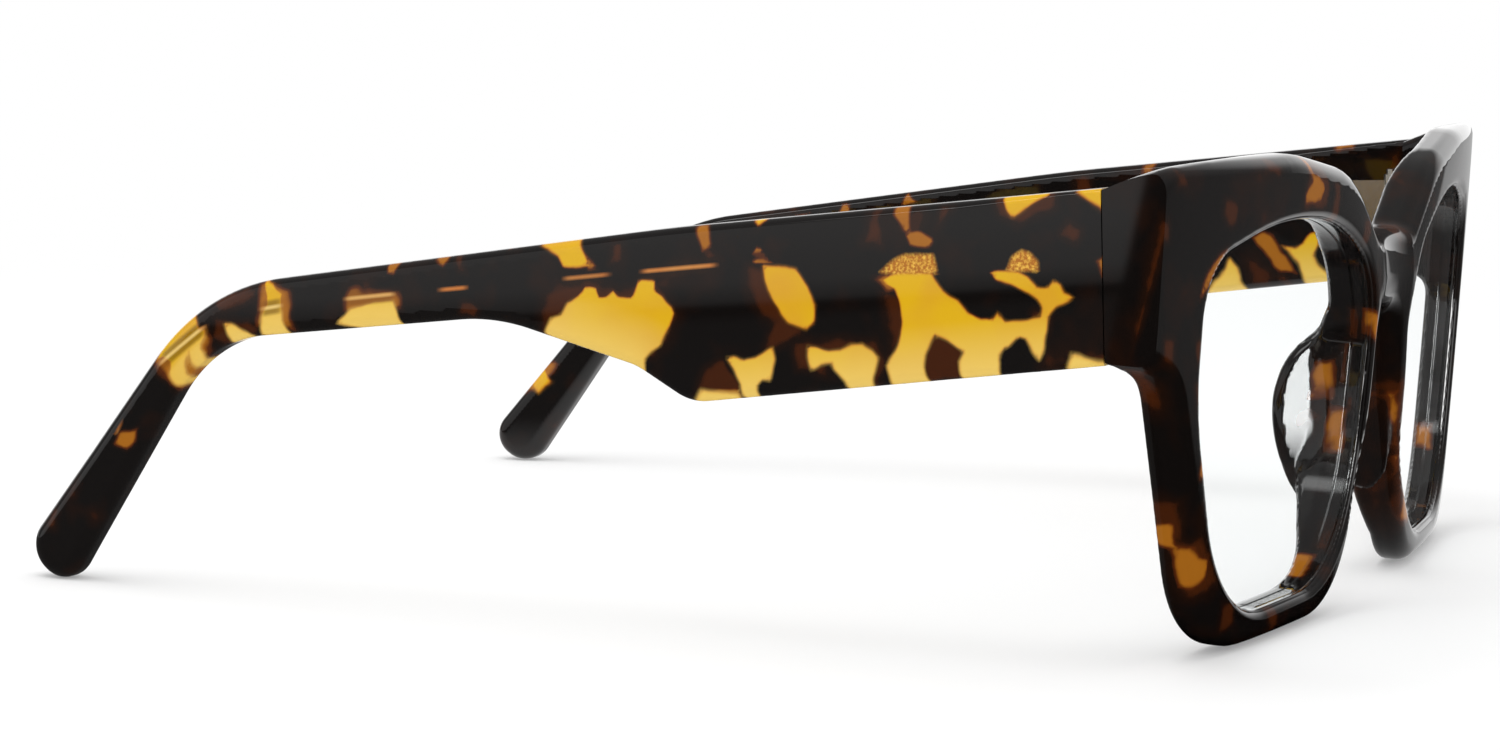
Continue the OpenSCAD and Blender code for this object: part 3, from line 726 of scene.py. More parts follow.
# %% Patches of the front
SKIN = (-9, 1.6)
SHEET = (-9, 4.7)
FRONT_HONEY = []
FRONT_AMBER = [
    (0.7, [(-38.2, 53), (-36.8, 52.6), (-35.6, 50.8), (-34.2, 50.6), (-32.2, 49.6), (-31.7, 48.5),
           (-32.9, 47.4), (-35.4, 46.9), (-38.2, 47), (-38, 48.4), (-37, 49.2), (-36, 49.8), (-37, 50.6)],
     SKIN),
    (0.7, [(-62.6, 38.4), (-61.8, 41), (-59.1, 42.8), (-56.6, 43.6), (-57.3, 42), (-60, 40.2)], SHEET),
    (0.6, [(-59.9, 21.8), (-57.2, 21.6), (-57.4, 19.4), (-59.9, 19.6)], SHEET),
    (0.8, [(-60.6, 12.6), (-58.8, 12.7), (-57.9, 11.2), (-56.2, 11.1), (-56.3, 8.8), (-57.8, 7.1),
           (-59.8, 8.1), (-60.6, 10.4)], (-9, 2.8)),
    (0.7, [(-63, 14.8), (-59, 14.8), (-58.6, 12.2), (-61, 11.8)], (2.2, 6)),
    (0.8, [(-10.4, 33.9), (-8, 33.9), (-6.9, 32.2), (-7.3, 29.2), (-9.2, 31)], SKIN),
    (0.8, [(-13, 27.6), (-8, 27.8), (-9, 25.2), (-10, 23), (-13.4, 23.2)], (4.4, 7)),
    (0.8, [(-11, 23.6), (-9, 21), (-10.4, 17.2), (-14.8, 17), (-13.6, 21.9)], (2.5, 4.8)),
    (0.8, [(-18.8, 7.6), (-18.6, 4.6), (-23, 2.8), (-24, 6.2)], (2.4, 4.8)),
    (0.9, [(6, 22.6), (8.5, 23.4), (12.6, 21.4), (14, 17), (12.8, 14.8), (9.3, 16), (7.5, 19.8)], (0.6, 9)),
    (0.8, [(9.6, 15), (13.6, 15.4), (13.8, 13), (11, 12.2)], (0.5, 9)),
    (0.8, [(13, 10.4), (16, 10.4), (17.6, 8), (17, 5.6), (14.2, 6.6), (13.4, 8.6)], (-1, 2.2)),
    (0.8, [(57, 13.4), (53.4, 13.2), (53, 10.2), (56, 10)], (2, 4.6))]
FRONT_BROWN = [
    (0.7, [(-29, 49.5), (-26, 49), (-26.8, 46.7), (-26.6, 43.6), (-29.2, 43.6), (-29.4, 46.8), (-28.2, 47.9)],
     SKIN),
    (0.7, [(-16.8, 44.8), (-13.4, 44.5), (-13.8, 42.6), (-15.8, 41.4), (-17.4, 42.3)], SKIN),
    (0.9, [(-58.4, 48.7), (-56.9, 49), (-55.2, 48), (-55.5, 46.1), (-57, 45.7), (-58.8, 47)], SKIN),
    (0.9, [(-49.2, 53), (-46.2, 52.8), (-43.8, 51.3), (-45.3, 49.8), (-48.4, 51)], SKIN),
    (0.8, [(-69, 52.1), (-66.8, 52.1), (-66.7, 50), (-69, 49.8)], SKIN),
    (0.9, [(-72, 47.4), (-70, 47.2), (-69.8, 44.6), (-72, 44.6)], SHEET),
    (1.0, [(-69.8, 35.2), (-67.2, 35.2), (-66.9, 31.8), (-69.4, 31.8)], SKIN),
    (1.4, [(-72, 32.9), (-67.2, 32.8), (-64.6, 29.8), (-64.2, 26.6), (-67, 27)], (1.6, 4.8)),
    (0.7, [(-63, 34.4), (-60.6, 34.4), (-60.2, 31.6), (-62.7, 31.4)], SHEET),
    (0.7, [(-62.4, 30), (-59.6, 30), (-59.2, 27), (-61.8, 27)], SHEET),
    (1.1, [(-63, 17.8), (-59, 17.6), (-58.4, 14), (-59, 12.2), (-61, 12.2), (-63, 14)], (1, 6)),
    (1.3, [(-61, 13.6), (-57.6, 13.6), (-55.4, 11.6), (-53.6, 8.2), (-57, 6.2), (-60.6, 8)], (-9, 3.4)),
    (0.9, [(-52.7, 6), (-49, 5.6), (-48.9, 2.9), (-52, 2.2)], SKIN),
    (0.8, [(-40, 3.9), (-37.2, 3.8), (-36.4, 1.4), (-37.8, -0.4), (-39.6, 1.8)], SKIN),
    (0.6, [(-11, 34), (-8, 34), (-8, 30.2), (-11, 30.2)], (2, 3.4)),
    (0.6, [(-11.4, 30), (-8, 30), (-8.4, 25), (-11.4, 25)], (2.8, 3.8)),
    (0.5, [(-11.6, 24), (-9, 24), (-9, 21.6), (-11.6, 21.6)], (1.8, 2.8)),
    (0.8, [(-14.6, 10), (-18.4, 7.4), (-17, 5), (-13, 7.4)], (1.2, 3)),
    (1.0, [(-36.4, 53), (-32.6, 52.6), (-30, 49), (-30.6, 46.4), (-38.8, 46.2)], SKIN),
    (1.8, [(5, 24), (9, 25), (13.6, 21), (14, 13), (17.6, 9), (17, 4.6), (13, 6), (9, 14)], (-9, 9)),
    (1.4, [(3, 43), (8, 43.6), (8, 41.4), (3, 40)], SHEET)]


# %% [markdown]
# A painted highlight with darker flanks follows the core wire where the acetate over it is clear: it stands
# for the wire's glint through the acetate. Near the hinge the gilt anchor's gold is painted, with painted
# glints over it. The wire is known by the distance from its middle line, so that the painted highlight stays
# as thin as it should be on a coarse mesh. Painted light makes the acetate paler along the lower edge, where
# light that enters the edge would brighten it. A wire span is (from, to, how clearly it shows).

# %% Painted wire highlight, anchor glints and edge light of the temples
WIRE_PATH = [(38.7, 42.6), (58.5, 40.2), (68, 39), (78, 37.7), (94.6, 35.6), (109, 33.6), (116, 32.2),
             (120, 30.3), (123, 28.1), (126, 25.8), (132, 17.6)]
WIRE_SEEN = [(54.6, 63.8, 1.0), (67.2, 73.2, 0.8), (84.6, 88.6, 1.0), (93.8, 100.8, 1.0),
             (108.6, 112, 1.0), (119, 126, 1.0), (130.8, 132.4, 0.6)]
ANCHOR_SEEN = [
    (0.3, [(36.3, 40.7), (34.6, 42.2), (33.5, 42.8), (30.4, 42.8), (29.8, 40.8), (34, 40.6)]),
    (0.3, [(22.3, 41.5), (21.7, 43), (20.8, 43.7), (19.8, 43.4), (19, 42.6), (18.9, 41.5)])]


def wire_distance(y, z):
    """Signed distance in mm from the middle line of the core wire, seen from the side."""
    path = np.array(WIRE_PATH)
    above = np.where(z > np.interp(y, path[:, 0], path[:, 1]), 1, -1)
    best = np.full(y.shape, 9.0)
    for start, end in zip(WIRE_PATH, WIRE_PATH[1:]):
        run = np.array(end) - np.array(start)
        dy, dz = y - start[0], z - start[1]
        along = np.clip((dy * run[0] + dz * run[1]) / (run @ run), 0, 1)
        best = np.minimum(best, np.hypot(dy - along * run[0], dz - along * run[1]))
    return best * above


def paint_temple(piece, honey, amber, brown, wire_seen, anchor_seen):
    _, y, z = bench_points(piece).T
    paint_layer(piece, "honey", stencil(y, z, honey))
    paint_layer(piece, "amber", stencil(y, z, amber))
    paint_layer(piece, "brown", stencil(y, z, brown))
    # Where the anchor's gold and its painted glints go.
    paint_layer(piece, "anchor", stencil(y, z, anchor_seen))
    # Where the painted highlight of the core wire goes.
    paint_layer(piece, "wire", np.clip(wire_distance(y, z), -4, 4))
    seen = np.zeros(y.shape)
    for low, high, amount in wire_seen:
        ends = np.clip(np.minimum(y - low, high - y) / 0.9, 0, 1)
        seen = np.maximum(seen, amount * ends)
    paint_layer(piece, "wire_seen", seen)
    # Painted light: a layer to paint the acetate paler near the lower edge, where light that enters the edge
    # would brighten it.
    lower = outline_distance(y, z - 1, TEMPLE) - outline_distance(y, z + 1, TEMPLE)
    close = np.clip(1 + outline_distance(y, z, TEMPLE) / 6, 0, 1)
    paint_layer(piece, "edge_light", close * np.clip(0.5 * lower, 0, 1))


paint_temple(temple_right, RIGHT_HONEY, RIGHT_AMBER, RIGHT_BROWN, WIRE_SEEN, ANCHOR_SEEN)
paint_temple(temple_left, LEFT_HONEY, LEFT_AMBER, LEFT_BROWN, [], [])
front_x, front_depth, front_z = flatten_front(bench_points(front)).T
for layer_name, patches in (("honey", FRONT_HONEY), ("amber", FRONT_AMBER), ("brown", FRONT_BROWN)):
    paint_layer(front, layer_name, stencil(front_x, front_z, patches, front_depth))
paint_layer(front, "anchor", np.full(len(front_x), -FAR_OUT))
paint_layer(front, "depth", front_depth)
paint_layer(front, "into_opening", np.clip(-outline_distance(abs(front_x), front_z, LENS), -2, 2))

# %% [markdown]
# ## Materials
# Colours are written as sRGB hex values, as a paint shop would, and one function turns them into
# the linear values that a shader needs. One small function adds a node with its settings and links, and
# the others are short forms of it for the nodes that repeat.

# %% Colour and node helpers
def colour(hex_value):
    """Linear RGBA of an sRGB hex colour."""
    parts = [int(hex_value[i:i + 2], 16) / 255 for i in (1, 3, 5)]
    return (*[c / 12.92 if c <= 0.04045 else ((c + 0.055) / 1.055) ** 2.4 for c in parts], 1)


def node(tree, kind, inputs=None, **settings):
    """Adds a node. inputs gives each input a value, or the output that it is linked to."""
    made = tree.nodes.new(kind)
    for key, value in settings.items():
        setattr(made, key, value)
    for socket, value in (inputs or {}).items():
        if isinstance(value, bpy.types.NodeSocket):
            tree.links.new(value, made.inputs[socket])
        else:
            made.inputs[socket].default_value = value
    return made


def result(tree, kind, inputs=None, **settings):
    """The first output of a new node."""
    return node(tree, kind, inputs, **settings).outputs[0]


def calculate(tree, operation, *values):
    """What a Math node makes of its values."""
    return result(tree, "ShaderNodeMath", dict(enumerate(values)), operation=operation)


def remap(tree, value, low=0.0, high=1.0, to_low=0.0, to_high=1.0, **settings):
    """A value carried from one range to another, and held in it unless clamp is off."""
    ranges = {"From Min": low, "From Max": high, "To Min": to_low, "To Max": to_high}
    return result(tree, "ShaderNodeMapRange", {"Value": value, **ranges}, **settings)


def blend(tree, share, under, over):
    """The colour under where share is 0, and the colour over where it is 1."""
    return node(tree, "ShaderNodeMix", {0: share, 6: under, 7: over}, data_type="RGBA").outputs[2]


def noise(tree, where, size_mm, detail):
    """Noise with waves of about size_mm."""
    settings = {"Vector": where, "Scale": 1 / (size_mm * MM), "Detail": detail}
    return node(tree, "ShaderNodeTexNoise", settings).outputs["Fac"]


def layer(tree, name):
    """A layer that was painted on the mesh."""
    return node(tree, "ShaderNodeAttribute", attribute_name=name).outputs["Fac"]


def ramp(tree, share, stops):
    """A colour from a ramp, whose stops are (place, RGBA)."""
    made = node(tree, "ShaderNodeValToRGB", {"Fac": share})
    for _ in stops[2:]:
        made.color_ramp.elements.new(0.5)
    for stop, (place, value) in zip(made.color_ramp.elements, stops):
        stop.position = place
        stop.color = value
    return made.outputs["Color"]


def material(name):
    made = bpy.data.materials.new(name)
    made.use_nodes = True
    made.node_tree.nodes.clear()
    return made, made.node_tree


# %% [markdown]
# **Tumbled cellulose acetate.** Acetate is a clear plastic with an index of 1.49, and tumbling gives it
# a mirror polish. The ramp runs from black-brown through red-brown and amber to honey. A fine noise
# bends the edges of the patches, as the pressed blocks do.

# %% Tortoiseshell acetate
SHADES = [(0.0, "#100D0C"), (0.2, "#1E100A"), (0.4, "#58290E"), (0.55, "#A0611A"), (0.75, "#CF8F20"),
          (0.95, "#E0B01C")]


def soft_layer(tree, name, bend):
    """A painted layer from 0 to 1, its edge bent by a noise."""
    bent = calculate(tree, "ADD", layer(tree, name), bend)
    return remap(tree, bent, interpolation_type="SMOOTHSTEP")


def tortoiseshell(name, lipped=False):
    """lipped draws the fine lips of the lens groove on the walls of the openings."""
    made, tree = material(name)
    where = node(tree, "ShaderNodeTexCoord").outputs["Object"]
    bend = remap(tree, noise(tree, where, 2.4, 1.5), to_low=-0.4, to_high=0.4, clamp=False)
    honey = soft_layer(tree, "honey", bend)
    amber = soft_layer(tree, "amber", bend)
    brown = soft_layer(tree, "brown", bend)
    amber_glow = calculate(tree, "MULTIPLY", amber, 0.56)
    brown_glow = calculate(tree, "MULTIPLY", brown, 0.29)
    clouds = remap(tree, noise(tree, where, 6, 2.0), 0.52, 0.72, to_high=0.24)
    glow = honey
    for dimmer in (amber_glow, brown_glow, clouds):
        glow = calculate(tree, "MAXIMUM", glow, dimmer)
    shade = ramp(tree, glow, [(place, colour(value)) for place, value in SHADES])
    honey_tone = remap(tree, noise(tree, where, 7, 1.0), 0.45, 0.7, to_high=0.6)
    shade = blend(tree, calculate(tree, "MULTIPLY", honey_tone, honey), shade, colour("#D79A30"))
    # Painted light: honey is painted paler near the lower edge, for light that enters the edge.
    painted_edge_light = calculate(tree, "MULTIPLY", layer(tree, "edge_light"), honey)
    shade = blend(tree, painted_edge_light, shade, colour("#F0CC6C"))
    # Painted highlight: a pale streak with darker flanks along the core wire, for its glint through the
    # acetate.
    across = calculate(tree, "ABSOLUTE", layer(tree, "wire"))
    seen = layer(tree, "wire_seen")
    flank = calculate(tree, "MULTIPLY", remap(tree, across, 1.0, 0.6, to_high=0.6), seen)
    shade = blend(tree, calculate(tree, "MULTIPLY", flank, glow), shade, colour("#4A2A10"))
    core = calculate(tree, "MULTIPLY", remap(tree, across, 0.32, 0.05, to_high=0.95), seen)
    painted_wire_glint = blend(tree, glow, colour("#C87838"), colour("#EBC878"))
    shade = blend(tree, core, shade, painted_wire_glint)
    # Painted glints: gilt spots over the anchor's gold, for its sparkle through the acetate.
    spark = remap(tree, noise(tree, where, 0.3, 2.0), 0.42, 0.72)
    painted_anchor_glints = blend(tree, spark, colour("#B06C20"), colour("#F2BE4C"))
    shade = blend(tree, soft_layer(tree, "anchor", bend), shade, painted_anchor_glints)
    shader = node(tree, "ShaderNodeBsdfPrincipled", {"Base Color": shade, "Roughness": 0.025, "IOR": 1.49})
    if lipped:
        off = calculate(tree, "SUBTRACT", layer(tree, "depth"), LENS_BACK - LENS_T / 2)
        lip = remap(tree, calculate(tree, "ABSOLUTE", off), LENS_T / 2 - 0.25, LENS_T / 2 + 0.1,
                    interpolation_type="SMOOTHSTEP")
        wall = remap(tree, layer(tree, "into_opening"), -0.3, -0.1)
        raised = calculate(tree, "MULTIPLY", lip, wall)
        bump = result(tree, "ShaderNodeBump", {"Height": raised, "Distance": 0.2 * MM})
        tree.links.new(bump, shader.inputs["Normal"])
    node(tree, "ShaderNodeOutputMaterial", {"Surface": shader.outputs[0]})
    return made


front_acetate = tortoiseshell("tumbled_front_acetate", lipped=True)
temple_acetate = tortoiseshell("tumbled_temple_acetate")
front.data.materials.append(front_acetate)
temple_right.data.materials.append(temple_acetate)
temple_left.data.materials.append(temple_acetate)

# %% [markdown]
# **Clear demo lens.** Cast clear plastic, polished on both faces. Under one percent of the light is
# mirrored head-on and six percent at a flat angle, and the rest passes straight through.

# %% Clear lens
def clear_lens():
    made, tree = material("clear_lens_plastic")
    facing = node(tree, "ShaderNodeLayerWeight", {"Blend": 0.5}).outputs["Facing"]
    mirrored = remap(tree, calculate(tree, "POWER", facing, 5.0), to_low=0.003, to_high=0.06)
    through = result(tree, "ShaderNodeBsdfTransparent", {"Color": colour("#FEFFFF")})
    gloss = result(tree, "ShaderNodeBsdfAnisotropic", {"Roughness": 0.02})
    mixed = result(tree, "ShaderNodeMixShader", {0: mirrored, 1: through, 2: gloss})
    node(tree, "ShaderNodeOutputMaterial", {"Surface": mixed})
    return made


lens_plastic = clear_lens()
for piece in (lens_right, lens_left):
    piece.data.materials.append(lens_plastic)

# %% [markdown]
# **Nickel silver and gilt brass.** The hinges are stamped and polished nickel silver, and the anchors
# are gilt.

# %% Metals
def metal(name, base, rough, grain_mm):
    made, tree = material(name)
    where = node(tree, "ShaderNodeTexCoord").outputs["Object"]
    spread = remap(tree, noise(tree, where, grain_mm, 3.0), to_low=rough * 0.7, to_high=rough * 1.4)
    shader = result(tree, "ShaderNodeBsdfPrincipled",
                    {"Roughness": spread, "Base Color": colour(base), "Metallic": 1.0})
    node(tree, "ShaderNodeOutputMaterial", {"Surface": shader})
    return made


nickel = metal("polished_nickel_silver", "#CFC8BC", 0.2, 0.4)
wire = metal("drawn_nickel_silver_wire", "#D8C9A8", 0.3, 0.3)
gilt = metal("grained_gilt_brass", "#D9B25C", 0.3, 0.25)
METAL_OF = {"hinge": nickel, "screw": nickel, "wire": wire, "anchor": gilt}
for name, piece in frame["nodes"].items():
    for key, finish in METAL_OF.items():
        if key in name:
            piece.data.materials.clear()
            piece.data.materials.append(finish)

# %% [markdown]
# ## Wires and anchors by Geometry Nodes
# The core wire is drawn flat with round edges and follows the temple to its tip. The anchor is a small
# plate with the same rib again and again, so that the acetate grips it. Both follow a rule, so a node
# tree makes them: one sweeps a profile along a path, the other repeats a rib on a line.

# %% Helpers for node trees
def geometry_tree(name, sizes):
    """A node tree with a geometry input and output, and one named input for each size."""
    tree = bpy.data.node_groups.new(name, "GeometryNodeTree")
    tree.interface.new_socket("Geometry", in_out="INPUT", socket_type="NodeSocketGeometry")
    tree.interface.new_socket("Geometry", in_out="OUTPUT", socket_type="NodeSocketGeometry")
    for label, value in sizes.items():
        kind = "NodeSocketInt" if isinstance(value, int) else "NodeSocketFloat"
        tree.interface.new_socket(label, in_out="INPUT", socket_type=kind).default_value = value
    return tree, node(tree, "NodeGroupInput").outputs


def end_tree(tree, geometry, finish):
    """Makes the instances real, gives them their material and ends the tree."""
    real = result(tree, "GeometryNodeRealizeInstances", {0: geometry})
    painted = result(tree, "GeometryNodeSetMaterial", {"Geometry": real, "Material": finish})
    node(tree, "NodeGroupOutput", {0: painted})


def vector(tree, **parts):
    """A vector from its X, Y and Z, where the ones left out are 0."""
    return result(tree, "ShaderNodeCombineXYZ", parts)


def grow(name, tree, points, sizes):
    """The plain mesh that a tree makes from a chain of points."""
    seed = bpy.data.meshes.new(name)
    seed.from_pydata([tuple(point) for point in points], [(i, i + 1) for i in range(len(points) - 1)], [])
    piece = add_object(name, seed)
    grower = piece.modifiers.new("grow", "NODES")
    grower.node_group = tree
    for item in tree.interface.items_tree:
        if item.name in sizes:
            grower[item.identifier] = sizes[item.name]
    seen = piece.evaluated_get(bpy.context.evaluated_depsgraph_get())
    result = bpy.data.meshes.new_from_object(seen)
    piece.modifiers.remove(grower)
    piece.data = result
    spread = np.array([vertex.co for vertex in result.vertices])
    print(name, "mm:", np.round((spread.max(0) - spread.min(0)) / MM, 1), len(result.polygons), "faces")
    return piece


# %% [markdown]
# The profile of the wire is a rounded rectangle. Its normals are held upright, so that the wire stays
# on edge inside the temple all the way round the bend.

# %% Core wires
WIRE_HIGH = 2.2
WIRE_THICK = 1.2
WIRE_CORNER = 0.4
WIRE_SPACING = 1.5


def core_wire_tree():
    """Sweeps a flat wire along a chain of points."""
    tree, size = geometry_tree("core_wire", {"Height": 1.0, "Thickness": 1.0, "Corner": 0.1, "Spacing": 1.0})
    route = result(tree, "GeometryNodeMeshToCurve", {"Mesh": size["Geometry"]})
    route = result(tree, "GeometryNodeCurveSplineType", {"Curve": route}, spline_type="CATMULL_ROM")
    route = result(tree, "GeometryNodeResampleCurve", {"Curve": route, "Length": size["Spacing"]},
                   mode="LENGTH")
    route = result(tree, "GeometryNodeSetCurveNormal", {"Curve": route}, mode="Z_UP")
    profile = result(tree, "GeometryNodeCurvePrimitiveQuadrilateral",
                     {"Width": size["Thickness"], "Height": size["Height"]})
    profile = result(tree, "GeometryNodeFilletCurve",
                     {"Curve": profile, "Radius": size["Corner"], "Count": 4}, mode="POLY")
    swept = result(tree, "GeometryNodeCurveToMesh",
                   {"Curve": route, "Profile Curve": profile, "Fill Caps": True})
    end_tree(tree, swept, wire)
    return tree


wire_tree = core_wire_tree()
wires = {}
for side_name, hand in (("right", -1), ("left", 1)):
    path = [(hand * (SIDE_X - temple_in(y) - TEMPLE_T / 2), y, z) for y, z in WIRE_PATH]
    sizes = {"Height": WIRE_HIGH * MM, "Thickness": WIRE_THICK * MM, "Corner": WIRE_CORNER * MM,
             "Spacing": WIRE_SPACING * MM}
    wires[side_name] = grow("core_wire_in_" + side_name, wire_tree, to_model(path), sizes)

# %% [markdown]
# The anchor's ribs stand 1.4 mm apart. The tree sweeps one rib, puts it on each point of a line, joins
# the ribs to the plate behind them and leans the whole anchor with the hinge.

# %% Temple anchors
ANCHOR = {"Length": 21.0, "Height": 4.0, "Thickness": 1.2}
RIB_PITCH = 1.4
RIB_HIGH = 0.4
RIBS = 14


def ribbed_anchor_tree():
    """Puts ribs on a plate, leans them and sets them on a point."""
    tree, size = geometry_tree("ribbed_anchor", {
        "Length": 1.0, "Height": 1.0, "Thickness": 1.0, "Rib height": 0.1, "Rib pitch": 1.0, "Ribs": 2,
        "Lean": 0.0, "Hand": 1.0})
    foot = vector(tree, Z=calculate(tree, "MULTIPLY", size["Height"], -0.5))
    head = vector(tree, Z=calculate(tree, "MULTIPLY", size["Height"], 0.5))
    stem = result(tree, "GeometryNodeCurvePrimitiveLine", {"Start": foot, "End": head})
    rib_wide = calculate(tree, "MULTIPLY", size["Rib pitch"], 0.6)
    rib_round = calculate(tree, "MULTIPLY", size["Rib height"], 0.4)
    rib_face = result(tree, "GeometryNodeCurvePrimitiveQuadrilateral",
                      {"Width": size["Thickness"], "Height": rib_wide})
    rib_face = result(tree, "GeometryNodeFilletCurve",
                      {"Curve": rib_face, "Radius": rib_round, "Count": 3}, mode="POLY")
    rib = result(tree, "GeometryNodeCurveToMesh",
                 {"Curve": stem, "Profile Curve": rib_face, "Fill Caps": True})
    gaps = calculate(tree, "SUBTRACT", size["Ribs"], 1.0)
    reach = calculate(tree, "MULTIPLY", gaps, size["Rib pitch"])
    first = vector(tree, Y=calculate(tree, "MULTIPLY", reach, -0.5))
    row = result(tree, "GeometryNodeMeshLine", {
        "Count": size["Ribs"], "Start Location": first, "Offset": vector(tree, Y=size["Rib pitch"])})
    ribs = result(tree, "GeometryNodeInstanceOnPoints", {"Points": row, "Instance": rib})
    thick = calculate(tree, "SUBTRACT", size["Thickness"], size["Rib height"])
    plate_size = vector(tree, X=thick, Y=size["Length"], Z=size["Height"])
    plate = result(tree, "GeometryNodeMeshCube", {"Size": plate_size})
    inwards = calculate(tree, "MULTIPLY", size["Rib height"], -0.5)
    inwards = vector(tree, X=calculate(tree, "MULTIPLY", inwards, size["Hand"]))
    plate = result(tree, "GeometryNodeTransform", {"Geometry": plate, "Translation": inwards})
    whole = node(tree, "GeometryNodeJoinGeometry")
    for part in (plate, ribs):
        tree.links.new(part, whole.inputs[0])
    leaning = result(tree, "GeometryNodeTransform",
                     {"Geometry": whole.outputs[0], "Rotation": vector(tree, X=size["Lean"])})
    seated = result(tree, "GeometryNodeInstanceOnPoints", {"Points": size["Geometry"], "Instance": leaning})
    end_tree(tree, seated, gilt)
    return tree


anchor_tree = ribbed_anchor_tree()
anchors = {}
for side_name, hand in (("right", -1), ("left", 1)):
    low, high = (np.array(corner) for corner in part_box("temple_anchor_" + side_name))
    sizes = {label: value * MM for label, value in ANCHOR.items()}
    sizes.update({"Rib height": RIB_HIGH * MM, "Rib pitch": RIB_PITCH * MM, "Ribs": RIBS,
                  "Lean": -AXIS_LEAN, "Hand": float(hand)})
    anchors[side_name] = grow("ribbed_anchor_in_" + side_name, anchor_tree, [(low + high) / 2], sizes)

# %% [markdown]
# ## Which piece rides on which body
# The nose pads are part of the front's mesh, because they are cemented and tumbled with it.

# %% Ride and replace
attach(front, "front")
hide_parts("front_frame", "nose_pad_right", "nose_pad_left")
for piece, hand in ((lens_right, "right"), (lens_left, "left")):
    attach(piece, "front")
    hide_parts("lens_" + hand)
for piece, hand in ((temple_right, "right"), (temple_left, "left")):
    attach(piece, hand + "_temple")
    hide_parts("temple_" + hand)
for hand in ("right", "left"):
    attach(wires[hand], hand + "_temple")
    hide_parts("core_wire_" + hand)
    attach(anchors[hand], hand + "_temple")
    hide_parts("temple_anchor_" + hand)

# %% [markdown]
# ## Floor, light and camera
# The photograph is a product shot on a white sweep. The floor is white to the camera and keeps the soft
# shadow. Polished acetate mirrors its surroundings, so glossy rays see the floor darker close by.

# %% Floor and world
floor_mesh = bpy.data.meshes.new("white_floor")
FLOOR = 6
floor_mesh.from_pydata([(-FLOOR, -FLOOR, 0), (FLOOR, -FLOOR, 0), (FLOOR, FLOOR, 0), (-FLOOR, FLOOR, 0)], [],
                       [(0, 1, 2, 3)])
floor = add_object("white_floor", floor_mesh)
floor.location.z = -0.0001
floor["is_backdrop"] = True
floor_paint, tree = material("white_sweep")
rays = node(tree, "ShaderNodeLightPath").outputs
where = node(tree, "ShaderNodeTexCoord").outputs["Object"]
white = result(tree, "ShaderNodeEmission", {"Color": (1, 1, 1, 1)})
paint = result(tree, "ShaderNodeBsdfDiffuse", {"Color": (0.9, 0.9, 0.9, 1)})
reach = node(tree, "ShaderNodeVectorMath", {0: where}, operation="LENGTH").outputs["Value"]
whiter = remap(tree, reach, 0.15, 0.45, 0.25, 1.0)


def straight_rays(tree, rays):
    """1 for rays from the camera, also those that pass through something clear."""
    return calculate(tree, "MAXIMUM", rays["Is Camera Ray"], rays["Is Transmission Ray"])


share = calculate(tree, "MULTIPLY", whiter, straight_rays(tree, rays))
sweep = result(tree, "ShaderNodeMixShader", {0: share, 1: paint, 2: white})

# %% [markdown]
# The temple mirrors the edge of the table: dark table before the line, bright room beyond it. A second
# line bounds the bright part sideways. On the other side of the glasses the floor grows bright towards
# the backdrop. All these lines are straight, so a dot product finds the distance to each of them.

# %% What the polished acetate mirrors below the horizon
TABLE_NORMAL = (-0.587, 0.81, 0)
TABLE_FROM, TABLE_TO = 0.3, 0.6
TABLE_LEVELS = [(0.0, 0.09), (0.2, 0.08), (0.28, 0.0), (0.315, 0.01), (0.35, 0.26), (0.5, 0.5), (1.0, 0.62)]
ROOM_SIDE = ((0.2794, 0.9602, 0), -0.0706, 0.0012)
FAR_HALF = ((1, 0, 0), 0.03, 0.03)
BACKDROP_SIDE = ((0.08, 0.997, 0), -0.112, 0.025)
BACKDROP_FADE = ((1, 0, 0), 0.21, 0.04)


def beyond(tree, where, normal):
    """How far a point of the floor lies along a normal."""
    return node(tree, "ShaderNodeVectorMath", {0: where, 1: normal}, operation="DOT_PRODUCT").outputs["Value"]


def past_line(tree, where, line):
    """0 before a line on the floor and 1 past it, over a soft width in metres."""
    normal, distance, soft = line
    across = beyond(tree, where, normal)
    return remap(tree, across, distance - soft, distance + soft, interpolation_type="SMOOTHSTEP")


place = remap(tree, beyond(tree, where, TABLE_NORMAL), TABLE_FROM, TABLE_TO)
table = ramp(tree, place, [(at, (value, value, value, 1)) for at, value in TABLE_LEVELS])
near_half = calculate(tree, "MULTIPLY", table, past_line(tree, where, ROOM_SIDE))
backdrop = remap(tree, past_line(tree, where, BACKDROP_FADE), to_low=0.85, to_high=0.5)
far_half = remap(tree, past_line(tree, where, BACKDROP_SIDE), to_low=0.12, to_high=backdrop)
on_far_half = past_line(tree, where, FAR_HALF)
level = result(tree, "ShaderNodeMix", {"Factor": on_far_half, "A": near_half, "B": far_half})
seen = result(tree, "ShaderNodeEmission", {"Strength": level})
floor_mix = result(tree, "ShaderNodeMixShader", {0: rays["Is Glossy Ray"], 1: sweep, 2: seen})
node(tree, "ShaderNodeOutputMaterial", {"Surface": floor_mix})
floor_mesh.materials.append(floor_paint)

# %% [markdown]
# Above the horizon, polished edges mirror cards on the sky: a white backdrop behind the glasses, the room
# to their right, a high strip, a bright softbox around the camera and a panel in front. A card is (from
# azimuth, to azimuth, bottom, top, softness of its upright edges, softness of its level edges, strength),
# with the angles in degrees. The rest of the mirrored studio is dim, and rays that aren't mirrored see an
# even white sky.

